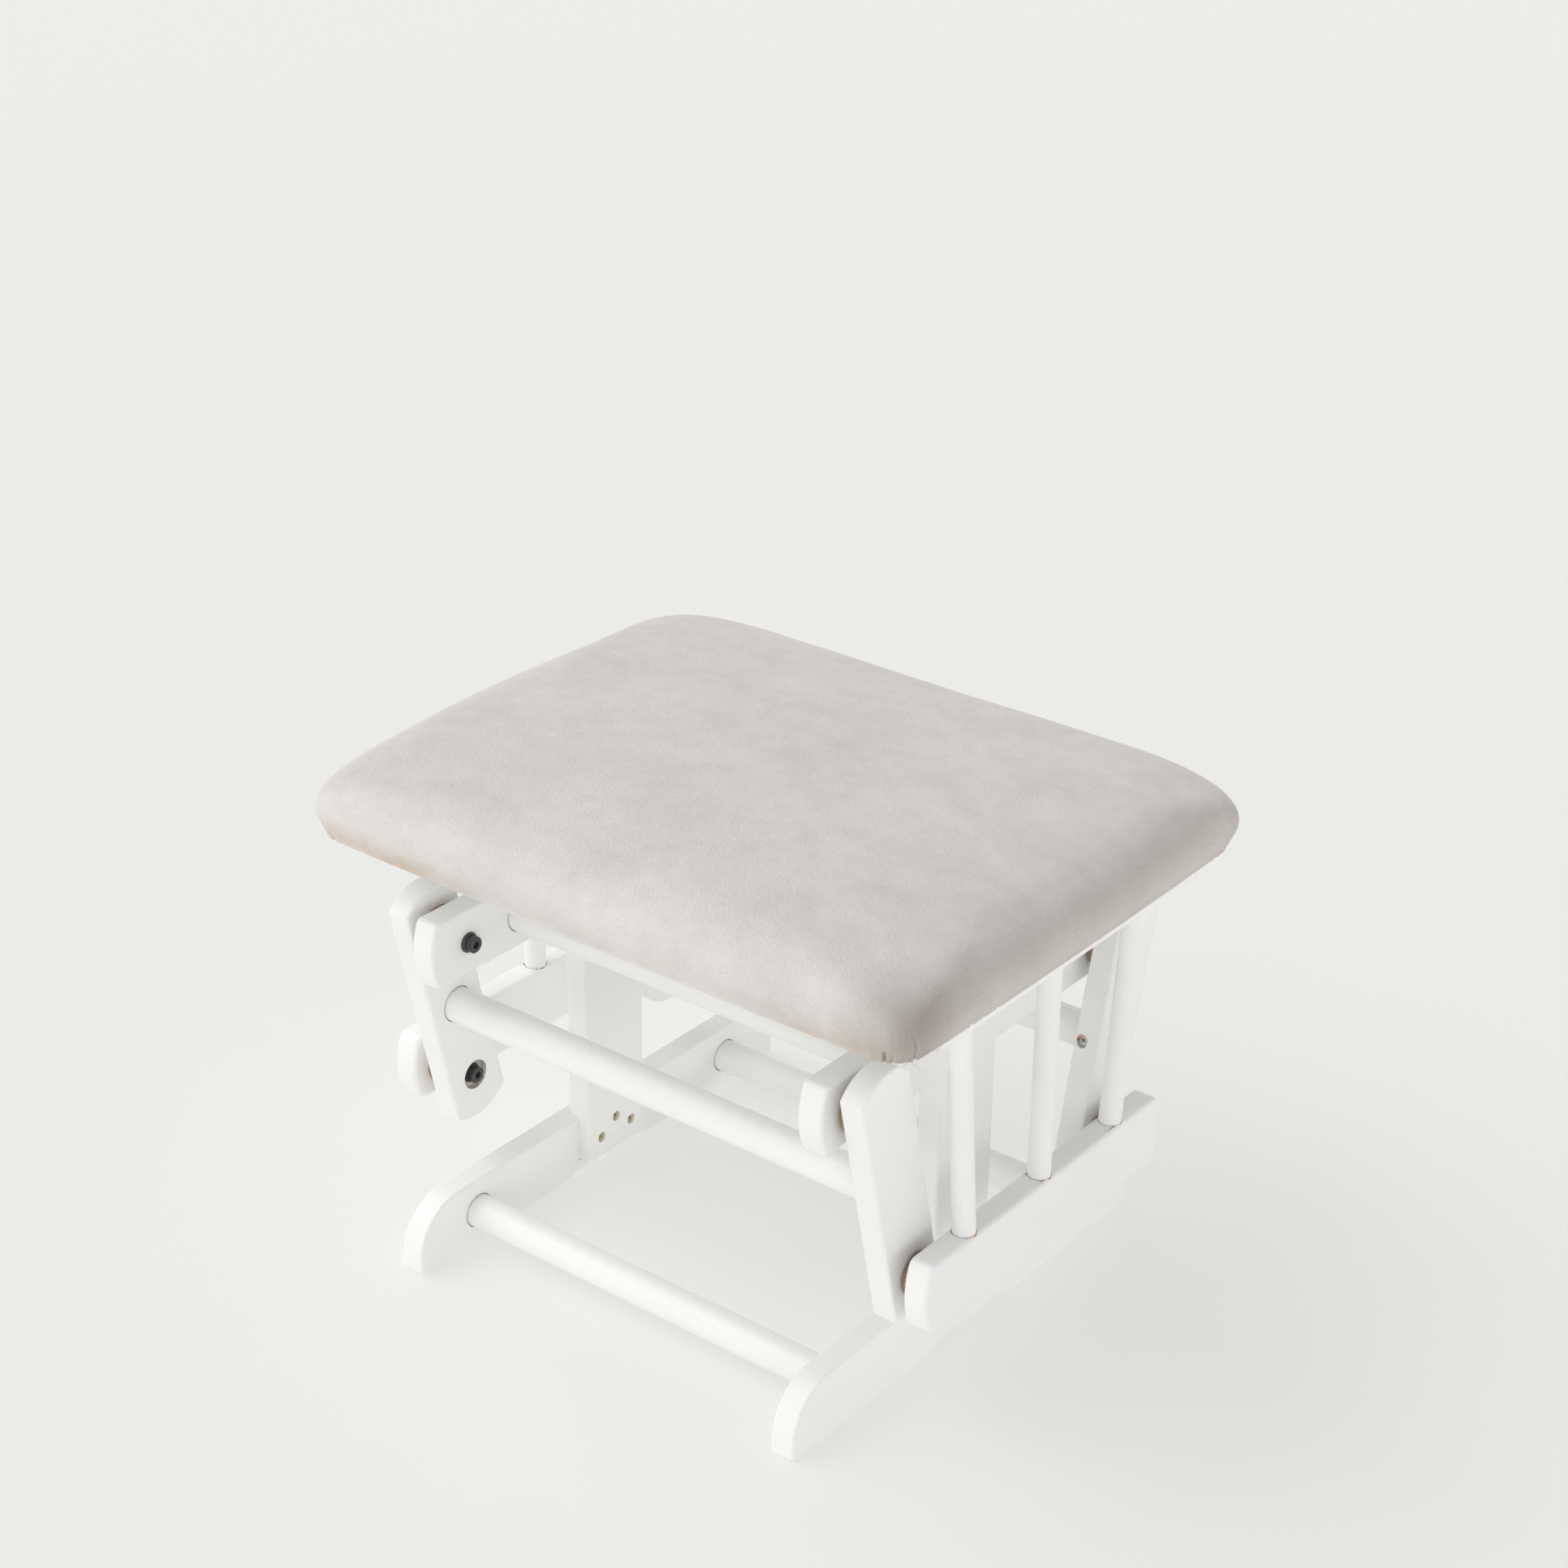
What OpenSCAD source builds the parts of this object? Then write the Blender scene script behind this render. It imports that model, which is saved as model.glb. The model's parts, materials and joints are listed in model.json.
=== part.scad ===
// Glider ottoman: a padded footstool that swings on two pairs of hinged links.
// X runs along the dowels, Y from front to rear, Z up from the floor.
// The origin lies on the floor under the middle of the stool.

/* [Boards and dowels] */
// Thickness of every frame board
board_t = 19; // [16:0.5:24]
// Width of the link and arm boards
board_w = 50; // [44:1:60]
// Diameter of the base and arm stretchers
stretcher_d = 25; // [20:0.5:30]
// Diameter of the stretchers between the links
link_stretcher_d = 26; // [20:0.5:30]
// Diameter of a side spindle
spindle_d = 16; // [12:0.5:18]
// How deep a dowel end is let into a board
dowel_depth = 12; // [8:0.5:14]
// Clearance around a dowel in its hole
dowel_gap = 0.6; // [0.2:0.1:0.8]

/* [Base frame] */
// Length of a runner, front to rear
runner_len = 400; // [360:5:480]
// Height of a runner
runner_h = 51; // [46:1:60]
// Distance between the inner faces of the runners
runner_gap = 315; // [240:5:400]
// Radius of the upper ends of a runner
runner_round = 40; // [20:1:44]
// Radius of the lower corners of a runner
runner_toe = 3; // [1:0.5:5]
// Length of the relief cut under a runner
relief_len = 108; // [80:2:160]
// Height of that relief
relief_h = 4; // [2:0.5:8]
// Length of the curved ramp at each end of the relief
relief_ramp = 22; // [12:1:36]
// Distance from the end of a runner to its stretcher
runner_stretcher_inset = 60; // [50:1:90]
// Width of a post
post_w = 63; // [50:1:80]
// Height of the foot of a post above the floor
post_foot = 13.5; // [10:0.5:18]
// How far a post stands proud of the runner and the arm
post_proud = 9.5; // [6:0.5:12]
// Height of the lower edge of an arm
arm_z = 221; // [210:1:250]
// Length of an arm
arm_len = 353; // [344:1:380]
// Radius of the bowed ends of the arms and lower rails
bow_r = 60; // [45:1:120]
// Radius of the upper corners of an arm
arm_top_r = 5; // [2:0.5:8]
// Radius of the lower corners of an arm
arm_low_r = 2; // [1:0.5:6]
// Distance from the end of an arm to its stretcher
arm_stretcher_inset = 88.5; // [76:0.5:110]

/* [Linkage] */
// Distance from the end of an arm to its pivot
pivot_inset = 35.5; // [28:0.5:40]
// Distance between the two pivots of a link
link_pitch = 135; // [125:1:145]
// Lean of a link at rest, in degrees
link_lean = 13.25; // [10:0.25:16]
// Reach of a link past each pivot
link_reach = 35; // [32:0.5:40]
// Radius of the bowed ends of a link
link_bow_r = 40; // [32:1:60]
// Corner radius of a link
link_corner_r = 2.5; // [1:0.5:6]
// Distance from the upper pivot down the link to the stretcher
link_stretcher_drop = 68; // [60:1:74]
// Gap between an arm and a link
link_gap = 9; // [7:0.5:14]
// Gap between a link and a lower rail
rail_gap = 12.5; // [9:0.5:18]
// Slack round the bushes of the rear lower pivots
open_slack = 2.3; // [2:0.1:2.6]

/* [Pivot hardware] */
// Diameter of a pivot bolt
bolt_d = 8; // [6:0.5:9]
// Diameter of a bolt head
head_d = 12.2; // [11:0.1:13.5]
// Height of a bolt head
head_h = 4.6; // [4:0.1:6]
// Width across the flats of the socket in a bolt head
socket_af = 5; // [4:0.5:6]
// Depth of that socket
socket_depth = 2.6; // [2:0.1:3.5]
// Diameter of a cup washer
washer_d = 15; // [14.5:0.5:17]
// Thickness of a cup washer
washer_t = 2.6; // [2:0.1:3.5]
// Diameter of the counterbore in a link
counterbore_d = 22.4; // [22:0.2:28]
// How far a lower bolt head stands out of its counterbore
lower_head_proud = 2.4; // [0:0.2:3]
// Outer diameter of a bush
bush_d = 14; // [12:0.5:15]
// Diameter of the flange of a bush
flange_d = 24; // [20:0.5:28]
// Thickness of the flange of a bush
flange_t = 2; // [1:0.5:3]
// Diameter of the spacer at an upper pivot
upper_spacer_d = 38; // [30:1:44]
// Diameter of the spacer at a lower pivot
lower_spacer_d = 32; // [28:1:40]
// Outer diameter of a threaded insert
insert_d = 12; // [10.5:0.5:14]
// Length of a threaded insert
insert_len = 12; // [10:0.5:13]
// Running clearance between a bolt and its bush
running_gap = 0.05; // [0.03:0.01:0.08]
// End play between a spacer and the bush flange beside it
end_play = 0.3; // [0.3:0.1:0.6]

/* [Seat frame] */
// Length of a lower rail
rail_len = 280; // [270:2:320]
// Height of a lower rail
rail_h = 52; // [46:1:60]
// Radius of the upper corners of a lower rail
rail_top_r = 7; // [2:0.5:10]
// Radius of the lower corners of a lower rail
rail_low_r = 8; // [1:0.5:10]
// Height of the lower pivot above the lower edge of the rail
rail_pivot_h = 23; // [20:0.5:28]
// Distance from the middle spindle to the foot of an outer one
spindle_y = 87; // [70:1:95]
// Angle at which the outer spindles lean outward, in degrees
spindle_angle = 5.3; // [0:0.1:8]
// Height of the lower face of an upper rail
upper_rail_z = 312; // [306:1:330]
// Thickness of an upper rail
upper_rail_t = 12.5; // [11:0.5:16]
// Width of an upper rail
upper_rail_w = 36; // [28:1:38]
// Length of an upper rail
upper_rail_len = 300; // [280:2:340]
// How deep a spindle is let into an upper rail
upper_depth = 8; // [5:0.5:9]

/* [Cushion] */
// Width of the cushion at its lower edge
cushion_w = 497; // [488:1:520]
// Depth of the cushion at its lower edge
cushion_d = 387.5; // [370:0.5:440]
// Height of the side of the cushion below its widest line
side_h = 22; // [16:1:28]
// How far the widest line stands out past the lower edge
side_out = 6.7; // [3:0.1:10]
// Outward bow of the widest line in the middle of each side
side_bow = 8.7; // [0:0.1:12]
// Height of the rounded shoulder above the widest line
shoulder_h = 38.4; // [25:0.2:50]
// Width of the rounded shoulder
shoulder_w = 47; // [30:1:60]
// Height of the crown in the middle above the shoulder
crown_h = 8; // [3:0.5:20]
// Corner radius at the lower edge
hem_r = 25; // [10:1:40]
// Corner radius at the top of the shoulder
top_r = 148; // [60:1:160]
// Depth of the rolled hem below the seat board
hem_drop = 3; // [1:0.5:5]
// Thickness of the plywood seat board
ply_t = 12; // [9:0.5:15]
// Thickness of the lining under the seat board
lining_t = 0.5; // [0.4:0.1:1]

/* [Screws] */
// Diameter of a screw head
screw_head_d = 8; // [6:0.5:9]
// Diameter of a screw shank
screw_d = 4; // [3:0.5:5]
// Distance from the middle of a post to its side screws
screw_spread = 16.6; // [12:0.2:20]
// Height of the two lower screws in a post
screw_low_z = 30.5; // [26:0.5:34]
// Rise from the lower screws to the single upper one
screw_rise = 10.5; // [6:0.5:14]
// Depth of a screw head below the wood
screw_sink = 2; // [1:0.5:3]
// Depth of a lock screw head below the edge of its link
lock_sink = 3; // [1:0.5:6]
// Distance from the middle to each screw in an upper rail
pad_screw_y = 48; // [40:1:60]

/* [Hidden] */

// Overrun of every cut past the face that it opens
cut = 1;
// Clearance of a piece that is pressed or glued in
seat_gap = 0.05;
// Clearance of the soft cover round the seat board
cover_gap = 0.2;
// Half turn, right angle, and angle between the corners of a hexagon, in degrees
half_turn = 180;
quarter_turn = 90;
socket_corner = 60;
// Steps of the curved ramp of the relief
ramp_steps = 8;
// Wall of the rolled hem round the seat board
hem_wall = 3.5;
// Chamfer on the rim of a bolt head and of a washer
rim = 0.8;
// Play of a screw shank in its hole
screw_gap = 0.1;
// Share of a screw's length that its tapered point takes
point_share = 0.25;
// Shares of the wood beyond a joint, of a stretcher and of the seat board that a screw bites into
frame_bite_share = 0.75;
lock_bite_share = 0.35;
pad_bite_share = 0.75;
// Facets of round pieces, and of the wide curves of the boards
$fn = 64;
wide_fn = 128;

// Places across the width, from the middle outwards
runner_x = runner_gap / 2;
post_x = runner_x - post_proud;
housing = board_t - post_proud;
runner_out_x = runner_x + board_t;
link_x = runner_out_x + link_gap;
link_out_x = link_x + board_t;
rail_x = link_out_x + rail_gap;
rail_mid_x = rail_x + board_t / 2;

// Distances of the stretchers from the middle
base_stretcher_y = runner_len / 2 - runner_stretcher_inset;
arm_stretcher_y = arm_len / 2 - arm_stretcher_inset;

// Heights, and the pivots of a rear link as distances from the middle and heights
arm_top = arm_z + board_w;
upper_pivot = [arm_len / 2 - pivot_inset, arm_z + board_w / 2];
lower_pivot = upper_pivot - link_pitch * [sin(link_lean), cos(link_lean)];
rail_z = lower_pivot.y - rail_pivot_h;
rail_top = rail_z + rail_h;
upper_rail_top = upper_rail_z + upper_rail_t;
ply_z = upper_rail_top + lining_t;
ply_top = ply_z + ply_t;
ply_w = cushion_w - 2 * hem_wall;
ply_d = cushion_d - 2 * hem_wall;

// Web left between the counterbore and the outer face of a link
web = board_t - head_h - washer_t - end_play + lower_head_proud;
// Lengths of the screws that hold a post or an arm, lock a stretcher, and hold the seat board
frame_screw_len = board_t - screw_sink + post_proud * frame_bite_share;
lock_len = board_w / 2 - lock_sink - link_stretcher_d / 2 + link_stretcher_d * lock_bite_share;
pad_screw_len = upper_rail_t - screw_sink + lining_t + ply_t * pad_bite_share;

// Outline helpers
module mirrored_x() {
    children();
    mirror([1, 0, 0]) children();
}

// Stands an outline drawn as (front to rear, height) up at x and gives it a thickness
module stand(x, t) {
    translate([x, 0, 0]) rotate([quarter_turn, 0, quarter_turn]) linear_extrude(height = t) children();
}

// A round hole or pin that runs along X from x over a length
module along_x(x, at, d, len) {
    translate([x, at.x, at.y]) rotate([0, quarter_turn, 0]) cylinder(d = d, h = len);
}

// Waste beyond a bowed end: what lies outside a circle whose far side touches x = len / 2
module end_waste(len, h, bow) {
    difference() {
        translate([len / 2 - bow, -h / 2 - cut]) square([bow + cut, h + 2 * cut]);
        translate([len / 2 - bow, 0]) circle(r = bow, $fn = wide_fn);
    }
}

// Waste beyond a fillet between the edge at height h / 2 and a bowed end
module corner_waste(len, h, bow, r) {
    bow_x = len / 2 - bow;
    mid = [bow_x + sqrt(pow(bow - r, 2) - pow(h / 2 - r, 2)), h / 2 - r];
    aim = (mid - [bow_x, 0]) / norm(mid - [bow_x, 0]);
    difference() {
        polygon([mid, [mid.x, h / 2 + cut], [len / 2 + cut, h / 2 + cut], mid + aim * (r + cut)]);
        translate(mid) circle(r = r);
    }
}

// A board whose ends are bowed by one radius and whose corners are rounded, centred on the origin
module bowed_board(len, h, bow, upper_r, lower_r) {
    difference() {
        square([len, h], center = true);
        for (sx = [0, 1]) mirror([sx, 0]) {
            end_waste(len, h, bow);
            corner_waste(len, h, bow, upper_r);
            mirror([0, 1]) corner_waste(len, h, bow, lower_r);
        }
    }
}

// Base frame

function ramp_points(from, to, rise) = [
    for (i = [0 : ramp_steps])
        [from + (to - from) * i / ramp_steps, rise * (1 - cos(half_turn * i / ramp_steps)) / 2]
];

// Shallow relief under a runner, with a smooth ramp at each end
module relief() {
    half = relief_len / 2;
    front = ramp_points(-half, relief_ramp - half, relief_h);
    rear = ramp_points(half, half - relief_ramp, relief_h);
    polygon(concat(
        [[-half, -cut]], front, [for (i = [ramp_steps : -1 : 0]) rear[i]], [[half, -cut]]
    ));
}

module runner_outline() {
    half = runner_len / 2;
    difference() {
        translate([-half, 0]) square([runner_len, runner_h]);
        for (s = [0, 1]) mirror([s, 0]) {
            difference() {
                translate([half - runner_round, runner_h - runner_round])
                    square(runner_round + cut);
                translate([half - runner_round, runner_h - runner_round])
                    circle(r = runner_round, $fn = wide_fn);
            }
            difference() {
                translate([half - runner_toe, -cut]) square([runner_toe + cut, runner_toe + cut]);
                translate([half - runner_toe, runner_toe]) circle(r = runner_toe);
            }
        }
        relief();
    }
}

// Screw places in a post: two low, one high between them
function screw_places(low) = [[-screw_spread, low], [screw_spread, low], [0, low + screw_rise]];

// A countersunk wood screw that points along +Z with its head at the origin
module wood_screw(len) {
    head_cone = (screw_head_d - screw_d) / 2;
    rotate_extrude() polygon([
        [0, 0], [screw_head_d / 2, 0], [screw_head_d / 2, head_cone * point_share],
        [screw_d / 2, head_cone * (1 + point_share)], [screw_d / 2, len * (1 - point_share)],
        [screw_d * point_share / 2, len], [0, len]
    ]);
}

// Room for such a screw, opened wide past its head
module screw_room(len) {
    head_cone = (screw_head_d - screw_d) / 2;
    head_room = screw_head_d / 2 + screw_gap;
    room = screw_d / 2 + screw_gap;
    rotate_extrude() polygon([
        [0, -board_t], [head_room, -board_t], [head_room, head_cone * point_share],
        [room, head_cone * (1 + point_share)], [room, len * (1 - point_share)],
        [screw_d * point_share / 2 + screw_gap, len], [0, len]
    ]);
}

// Puts children at the three screw places of a right post, pointing outward along +X
module at_frame_screws(low) {
    for (p = screw_places(low))
        translate([post_x + screw_sink, p.x, p.y]) rotate([0, quarter_turn, 0]) children();
}

// Height of the two lower screws behind an arm
arm_screw_z = arm_z + (board_w - screw_rise) / 2;

module runner() {
    color("white") difference() {
        stand(runner_x, board_t) runner_outline();
        translate([runner_x - cut, -post_w / 2 - seat_gap, post_foot])
            cube([housing + cut, post_w + 2 * seat_gap, runner_h]);
        for (s = [-1, 1])
            along_x(runner_x - cut, [s * base_stretcher_y, runner_h / 2],
                stretcher_d + 2 * dowel_gap, dowel_depth + cut);
        at_frame_screws(screw_low_z) screw_room(frame_screw_len);
    }
}

module post() {
    color("white") difference() {
        translate([post_x, -post_w / 2, post_foot])
            cube([board_t, post_w, arm_top - post_foot]);
        at_frame_screws(screw_low_z) screw_room(frame_screw_len);
        at_frame_screws(arm_screw_z) screw_room(frame_screw_len);
    }
}

module arm() {
    color("white") difference() {
        translate([0, 0, upper_pivot.y]) stand(runner_x, board_t)
            bowed_board(arm_len, board_w, bow_r, arm_top_r, arm_low_r);
        translate([runner_x - cut, -post_w / 2 - seat_gap, arm_z - cut])
            cube([housing + cut, post_w + 2 * seat_gap, board_w + 2 * cut]);
        for (s = [-1, 1]) {
            along_x(runner_x - cut, [s * arm_stretcher_y, upper_pivot.y],
                stretcher_d + 2 * dowel_gap, dowel_depth + cut);
            along_x(runner_x - cut, [s * upper_pivot.x, upper_pivot.y],
                bush_d + 2 * seat_gap, board_t + 2 * cut);
        }
        at_frame_screws(arm_screw_z) screw_room(frame_screw_len);
    }
}

module runner_left() { mirror([1, 0, 0]) runner(); }
module runner_right() { runner(); }
module post_left() { mirror([1, 0, 0]) post(); }
module post_right() { post(); }
module arm_left() { mirror([1, 0, 0]) arm(); }
module arm_right() { arm(); }

// A dowel between two boards whose inner faces stand at x on each side
module stretcher(x, at, d) {
    color("white") along_x(-x - dowel_depth, at, d, 2 * (x + dowel_depth));
}

module base_stretcher_front() { stretcher(runner_x, [-base_stretcher_y, runner_h / 2], stretcher_d); }
module base_stretcher_rear() { stretcher(runner_x, [base_stretcher_y, runner_h / 2], stretcher_d); }
module arm_stretcher_front() { stretcher(runner_x, [-arm_stretcher_y, upper_pivot.y], stretcher_d); }
module arm_stretcher_rear() { stretcher(runner_x, [arm_stretcher_y, upper_pivot.y], stretcher_d); }

module post_screws() {
    color("goldenrod") mirrored_x() at_frame_screws(screw_low_z) wood_screw(frame_screw_len);
}

module arm_screws() {
    color("goldenrod") mirrored_x() at_frame_screws(arm_screw_z) wood_screw(frame_screw_len);
}

// Pivot hardware, drawn for a pivot on the origin with the bolt pointing along +Z

// Socket head bolt whose head starts at the origin and whose shank ends at a length
module pivot_bolt(len) {
    difference() {
        rotate_extrude() polygon([
            [0, 0], [head_d / 2 - rim, 0], [head_d / 2, rim], [head_d / 2, head_h],
            [bolt_d / 2, head_h], [bolt_d / 2, len], [0, len]
        ]);
        translate([0, 0, -cut])
            cylinder(d = socket_af / cos(socket_corner / 2), h = socket_depth + cut, $fn = 6);
    }
}

// Cup washer under a bolt head
module cup_washer() {
    rotate_extrude() polygon([
        [bolt_d / 2 + seat_gap, 0], [washer_d / 2 - 2 * rim, 0], [washer_d / 2, rim],
        [washer_d / 2, washer_t], [bolt_d / 2 + seat_gap, washer_t]
    ]);
}

// Plain tube with its own bore, such as a spacer or a threaded insert
module tube(d, bore, len) {
    difference() {
        cylinder(d = d, h = len);
        translate([0, 0, -cut]) cylinder(d = bore, h = len + 2 * cut);
    }
}

// Flanged bush whose sleeve starts at the origin and whose flange lies past a length
module bush(len) {
    difference() {
        union() {
            cylinder(d = bush_d, h = len);
            translate([0, 0, len]) cylinder(d = flange_d, h = flange_t);
        }
        translate([0, 0, -cut])
            cylinder(d = bolt_d + 2 * running_gap, h = len + flange_t + 2 * cut);
    }
}

// Puts hardware on a pivot at both sides: sign -1 is the front pair and 1 the rear pair
module at_pivots(x, at, signs) {
    mirrored_x() for (s = signs)
        translate([x, s * at.x, at.y]) rotate([0, quarter_turn, 0]) children();
}

upper_washer_x = runner_x - washer_t - end_play;
upper_head_x = upper_washer_x - head_h;
upper_bolt_len = link_x + insert_len - upper_head_x;
lower_washer_x = link_out_x - web - washer_t - end_play;
lower_head_x = lower_washer_x - head_h;
lower_bolt_len = rail_x + insert_len - lower_head_x;
upper_spacer_t = link_gap - flange_t - end_play;
lower_spacer_t = rail_gap - flange_t - end_play;
spacer_bore = bolt_d + 2 * seat_gap;

module upper_bolts(signs) {
    color("black") at_pivots(upper_head_x, upper_pivot, signs) pivot_bolt(upper_bolt_len);
}
module upper_washers(signs) {
    color("black") at_pivots(upper_washer_x, upper_pivot, signs) cup_washer();
}
module upper_spacers(signs) {
    color("saddlebrown") at_pivots(link_x - upper_spacer_t, upper_pivot, signs)
        tube(upper_spacer_d, spacer_bore, upper_spacer_t);
}
module link_inserts(signs) {
    color("gold") at_pivots(link_x, upper_pivot, signs) tube(insert_d, spacer_bore, insert_len);
}
module lower_bolts(signs) {
    color("black") at_pivots(lower_head_x, lower_pivot, signs) pivot_bolt(lower_bolt_len);
}
module lower_bushes(x, signs) {
    color("dimgray") at_pivots(x, lower_pivot, signs) bush(web);
}

module arm_bushes() { color("dimgray") at_pivots(runner_x, upper_pivot, [-1, 1]) bush(board_t); }
module front_upper_bolts() { upper_bolts([-1]); }
module front_upper_washers() { upper_washers([-1]); }
module front_upper_spacers() { upper_spacers([-1]); }
module front_link_inserts() { link_inserts([-1]); }
module front_lower_bushes() { lower_bushes(link_out_x - web, [-1]); }
module rear_upper_bolts() { upper_bolts([1]); }
module rear_upper_washers() { upper_washers([1]); }
module rear_upper_spacers() { upper_spacers([1]); }
module rear_link_inserts() { link_inserts([1]); }
module front_lower_bolts() { lower_bolts([-1]); }
module rear_lower_bolts() { lower_bolts([1]); }
module rear_lower_bushes() { lower_bushes(link_out_x - web + end_play, [1]); }
module lower_washers() {
    color("black") at_pivots(lower_washer_x, lower_pivot, [-1, 1]) cup_washer();
}
module lower_spacers() {
    color("saddlebrown") at_pivots(rail_x - lower_spacer_t, lower_pivot, [-1, 1])
        tube(lower_spacer_d, spacer_bore, lower_spacer_t);
}
module rail_inserts() {
    color("gold") at_pivots(rail_x, lower_pivot, [-1, 1]) tube(insert_d, spacer_bore, insert_len);
}

// Links

// Moves a link drawn upright, with its upper pivot on the origin, to its leaning place at the rear
module lean_link() {
    translate([0, upper_pivot.x, upper_pivot.y]) rotate([-link_lean, 0, 0]) children();
}

// Full length of a link, and the distance of its lock screw from its inner face
link_len = link_pitch + 2 * link_reach;
lock_x = dowel_depth / 2;

// Lock screws enter the inner edge of a link and run into the end of the stretcher
module lock_place() {
    translate([link_x + lock_x, lock_sink - board_w / 2, -link_stretcher_drop])
        rotate([-quarter_turn, 0, 0]) children();
}

// A right link, upright: insert hole above, stretcher hole, and below it the counterbored bore
module upright_link(bore) {
    difference() {
        translate([0, 0, -link_pitch / 2]) stand(link_x, board_t) rotate(quarter_turn)
            bowed_board(link_len, board_w, link_bow_r, link_corner_r, link_corner_r);
        along_x(link_x - cut, [0, 0], insert_d + 2 * seat_gap, insert_len + seat_gap + cut);
        along_x(link_x - cut, [0, -link_stretcher_drop],
            link_stretcher_d + 2 * dowel_gap, dowel_depth + cut);
        along_x(link_x - cut, [0, -link_pitch], counterbore_d, board_t - web + cut);
        along_x(link_x - cut, [0, -link_pitch], bore, board_t + 2 * cut);
        lock_place() screw_room(lock_len);
    }
}

module link_pair_stretcher() {
    lean_link() difference() {
        along_x(-link_x - dowel_depth, [0, -link_stretcher_drop], link_stretcher_d,
            2 * (link_x + dowel_depth));
        mirrored_x() lock_place() screw_room(lock_len);
    }
}

// The bore for the bush is a seat in front and keeps the slack of the open pivot at the rear
front_bore = bush_d + 2 * seat_gap;
rear_bore = bush_d + 2 * open_slack;

module rear_link_right() { color("white") lean_link() upright_link(rear_bore); }
module rear_link_left() { mirror([1, 0, 0]) rear_link_right(); }
module front_link_right() {
    color("white") mirror([0, 1, 0]) lean_link() upright_link(front_bore);
}
module front_link_left() { mirror([1, 0, 0]) front_link_right(); }
module rear_link_stretcher() { color("white") link_pair_stretcher(); }
module front_link_stretcher() { color("white") mirror([0, 1, 0]) link_pair_stretcher(); }
module rear_lock_screws() {
    color("silver") mirrored_x() lean_link() lock_place() wood_screw(lock_len);
}
module front_lock_screws() { mirror([0, 1, 0]) rear_lock_screws(); }

// Seat frame

// Feet and leans of the three spindles of one side, from front to rear
spindle_feet = [-spindle_y, 0, spindle_y];
spindle_angles = [-spindle_angle, 0, spindle_angle];

// Puts children on the axis of spindle i with their origin at the lower rail's top face
module on_spindle(i) {
    translate([rail_mid_x, spindle_feet[i], rail_top]) rotate([-spindle_angles[i], 0, 0]) children();
}

// Length of spindle i above the rail's top face, up to a height
function spindle_rise(i, height) = (height - rail_top) / cos(spindle_angles[i]);

// A spindle, or its hole when it gets a gap, from the seat in the lower rail to that in the upper
module spindle_bar(i, gap) {
    on_spindle(i) translate([0, 0, -dowel_depth])
        cylinder(d = spindle_d + 2 * gap,
            h = dowel_depth + spindle_rise(i, upper_rail_z + upper_depth));
}

module lower_rail() {
    color("white") difference() {
        translate([0, 0, rail_z + rail_h / 2]) stand(rail_x, board_t)
            bowed_board(rail_len, rail_h, bow_r, rail_top_r, rail_low_r);
        for (i = [0 : 2]) spindle_bar(i, dowel_gap);
        for (s = [-1, 1])
            along_x(rail_x - cut, [s * lower_pivot.x, lower_pivot.y],
                insert_d + 2 * seat_gap, insert_len + seat_gap + cut);
    }
}

module upper_rail() {
    color("white") difference() {
        translate([rail_mid_x - upper_rail_w / 2, -upper_rail_len / 2, upper_rail_z])
            cube([upper_rail_w, upper_rail_len, upper_rail_t]);
        for (i = [0 : 2]) spindle_bar(i, dowel_gap);
        pad_screw_places() screw_room(pad_screw_len);
    }
}

// Screws that hold the seat board to an upper rail, driven from below
module pad_screw_places() {
    for (s = [-1, 1]) translate([rail_mid_x, s * pad_screw_y, upper_rail_z + screw_sink]) children();
}

module lower_rail_left() { mirror([1, 0, 0]) lower_rail(); }
module lower_rail_right() { lower_rail(); }
module upper_rail_left() { mirror([1, 0, 0]) upper_rail(); }
module upper_rail_right() { upper_rail(); }

module spindle(i) { color("white") spindle_bar(i, 0); }
module spindle_left_front() { mirror([1, 0, 0]) spindle(0); }
module spindle_left_middle() { mirror([1, 0, 0]) spindle(1); }
module spindle_left_rear() { mirror([1, 0, 0]) spindle(2); }
module spindle_right_front() { spindle(0); }
module spindle_right_middle() { spindle(1); }
module spindle_right_rear() { spindle(2); }

// Slab with round corners that fits inside the hem, larger all round by a growth
module slab(grow, low, high) {
    a = ply_w / 2 + grow;
    b = ply_d / 2 + grow;
    r = hem_r - hem_wall + grow;
    translate([0, 0, low]) {
        translate([r - a, -b, 0]) cube([2 * (a - r), 2 * b, high - low]);
        translate([-a, r - b, 0]) cube([2 * a, 2 * (b - r), high - low]);
        for (x = [r - a, a - r], y = [r - b, b - r])
            translate([x, y, 0]) cylinder(r = r, h = high - low);
    }
}

module seat_board() {
    color("burlywood") difference() {
        slab(0, ply_z, ply_top);
        mirrored_x() pad_screw_places() screw_room(pad_screw_len);
    }
}

module seat_lining() {
    color("whitesmoke") difference() {
        slab(0, upper_rail_top, ply_z);
        mirrored_x() pad_screw_places() screw_room(pad_screw_len);
    }
}

module pad_screws() { color("silver") mirrored_x() pad_screw_places() wood_screw(pad_screw_len); }

// Cushion

hem_z = ply_z - hem_drop;
wide_z = hem_z + side_h;
shoulder_z = wide_z + shoulder_h;
// Corner radius on the widest line
wide_r = 17.5;
// Squareness of the shoulder: 2 is a plain quarter round
shoulder_power = 2.6;
// Steps round a corner, along a side, up the side, over the shoulder and over the crown
corner_steps = 6;
edge_steps = 6;
side_steps = 3;
shoulder_steps = 7;
crown_shares = [0.8, 0.55, 0.3];
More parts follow.
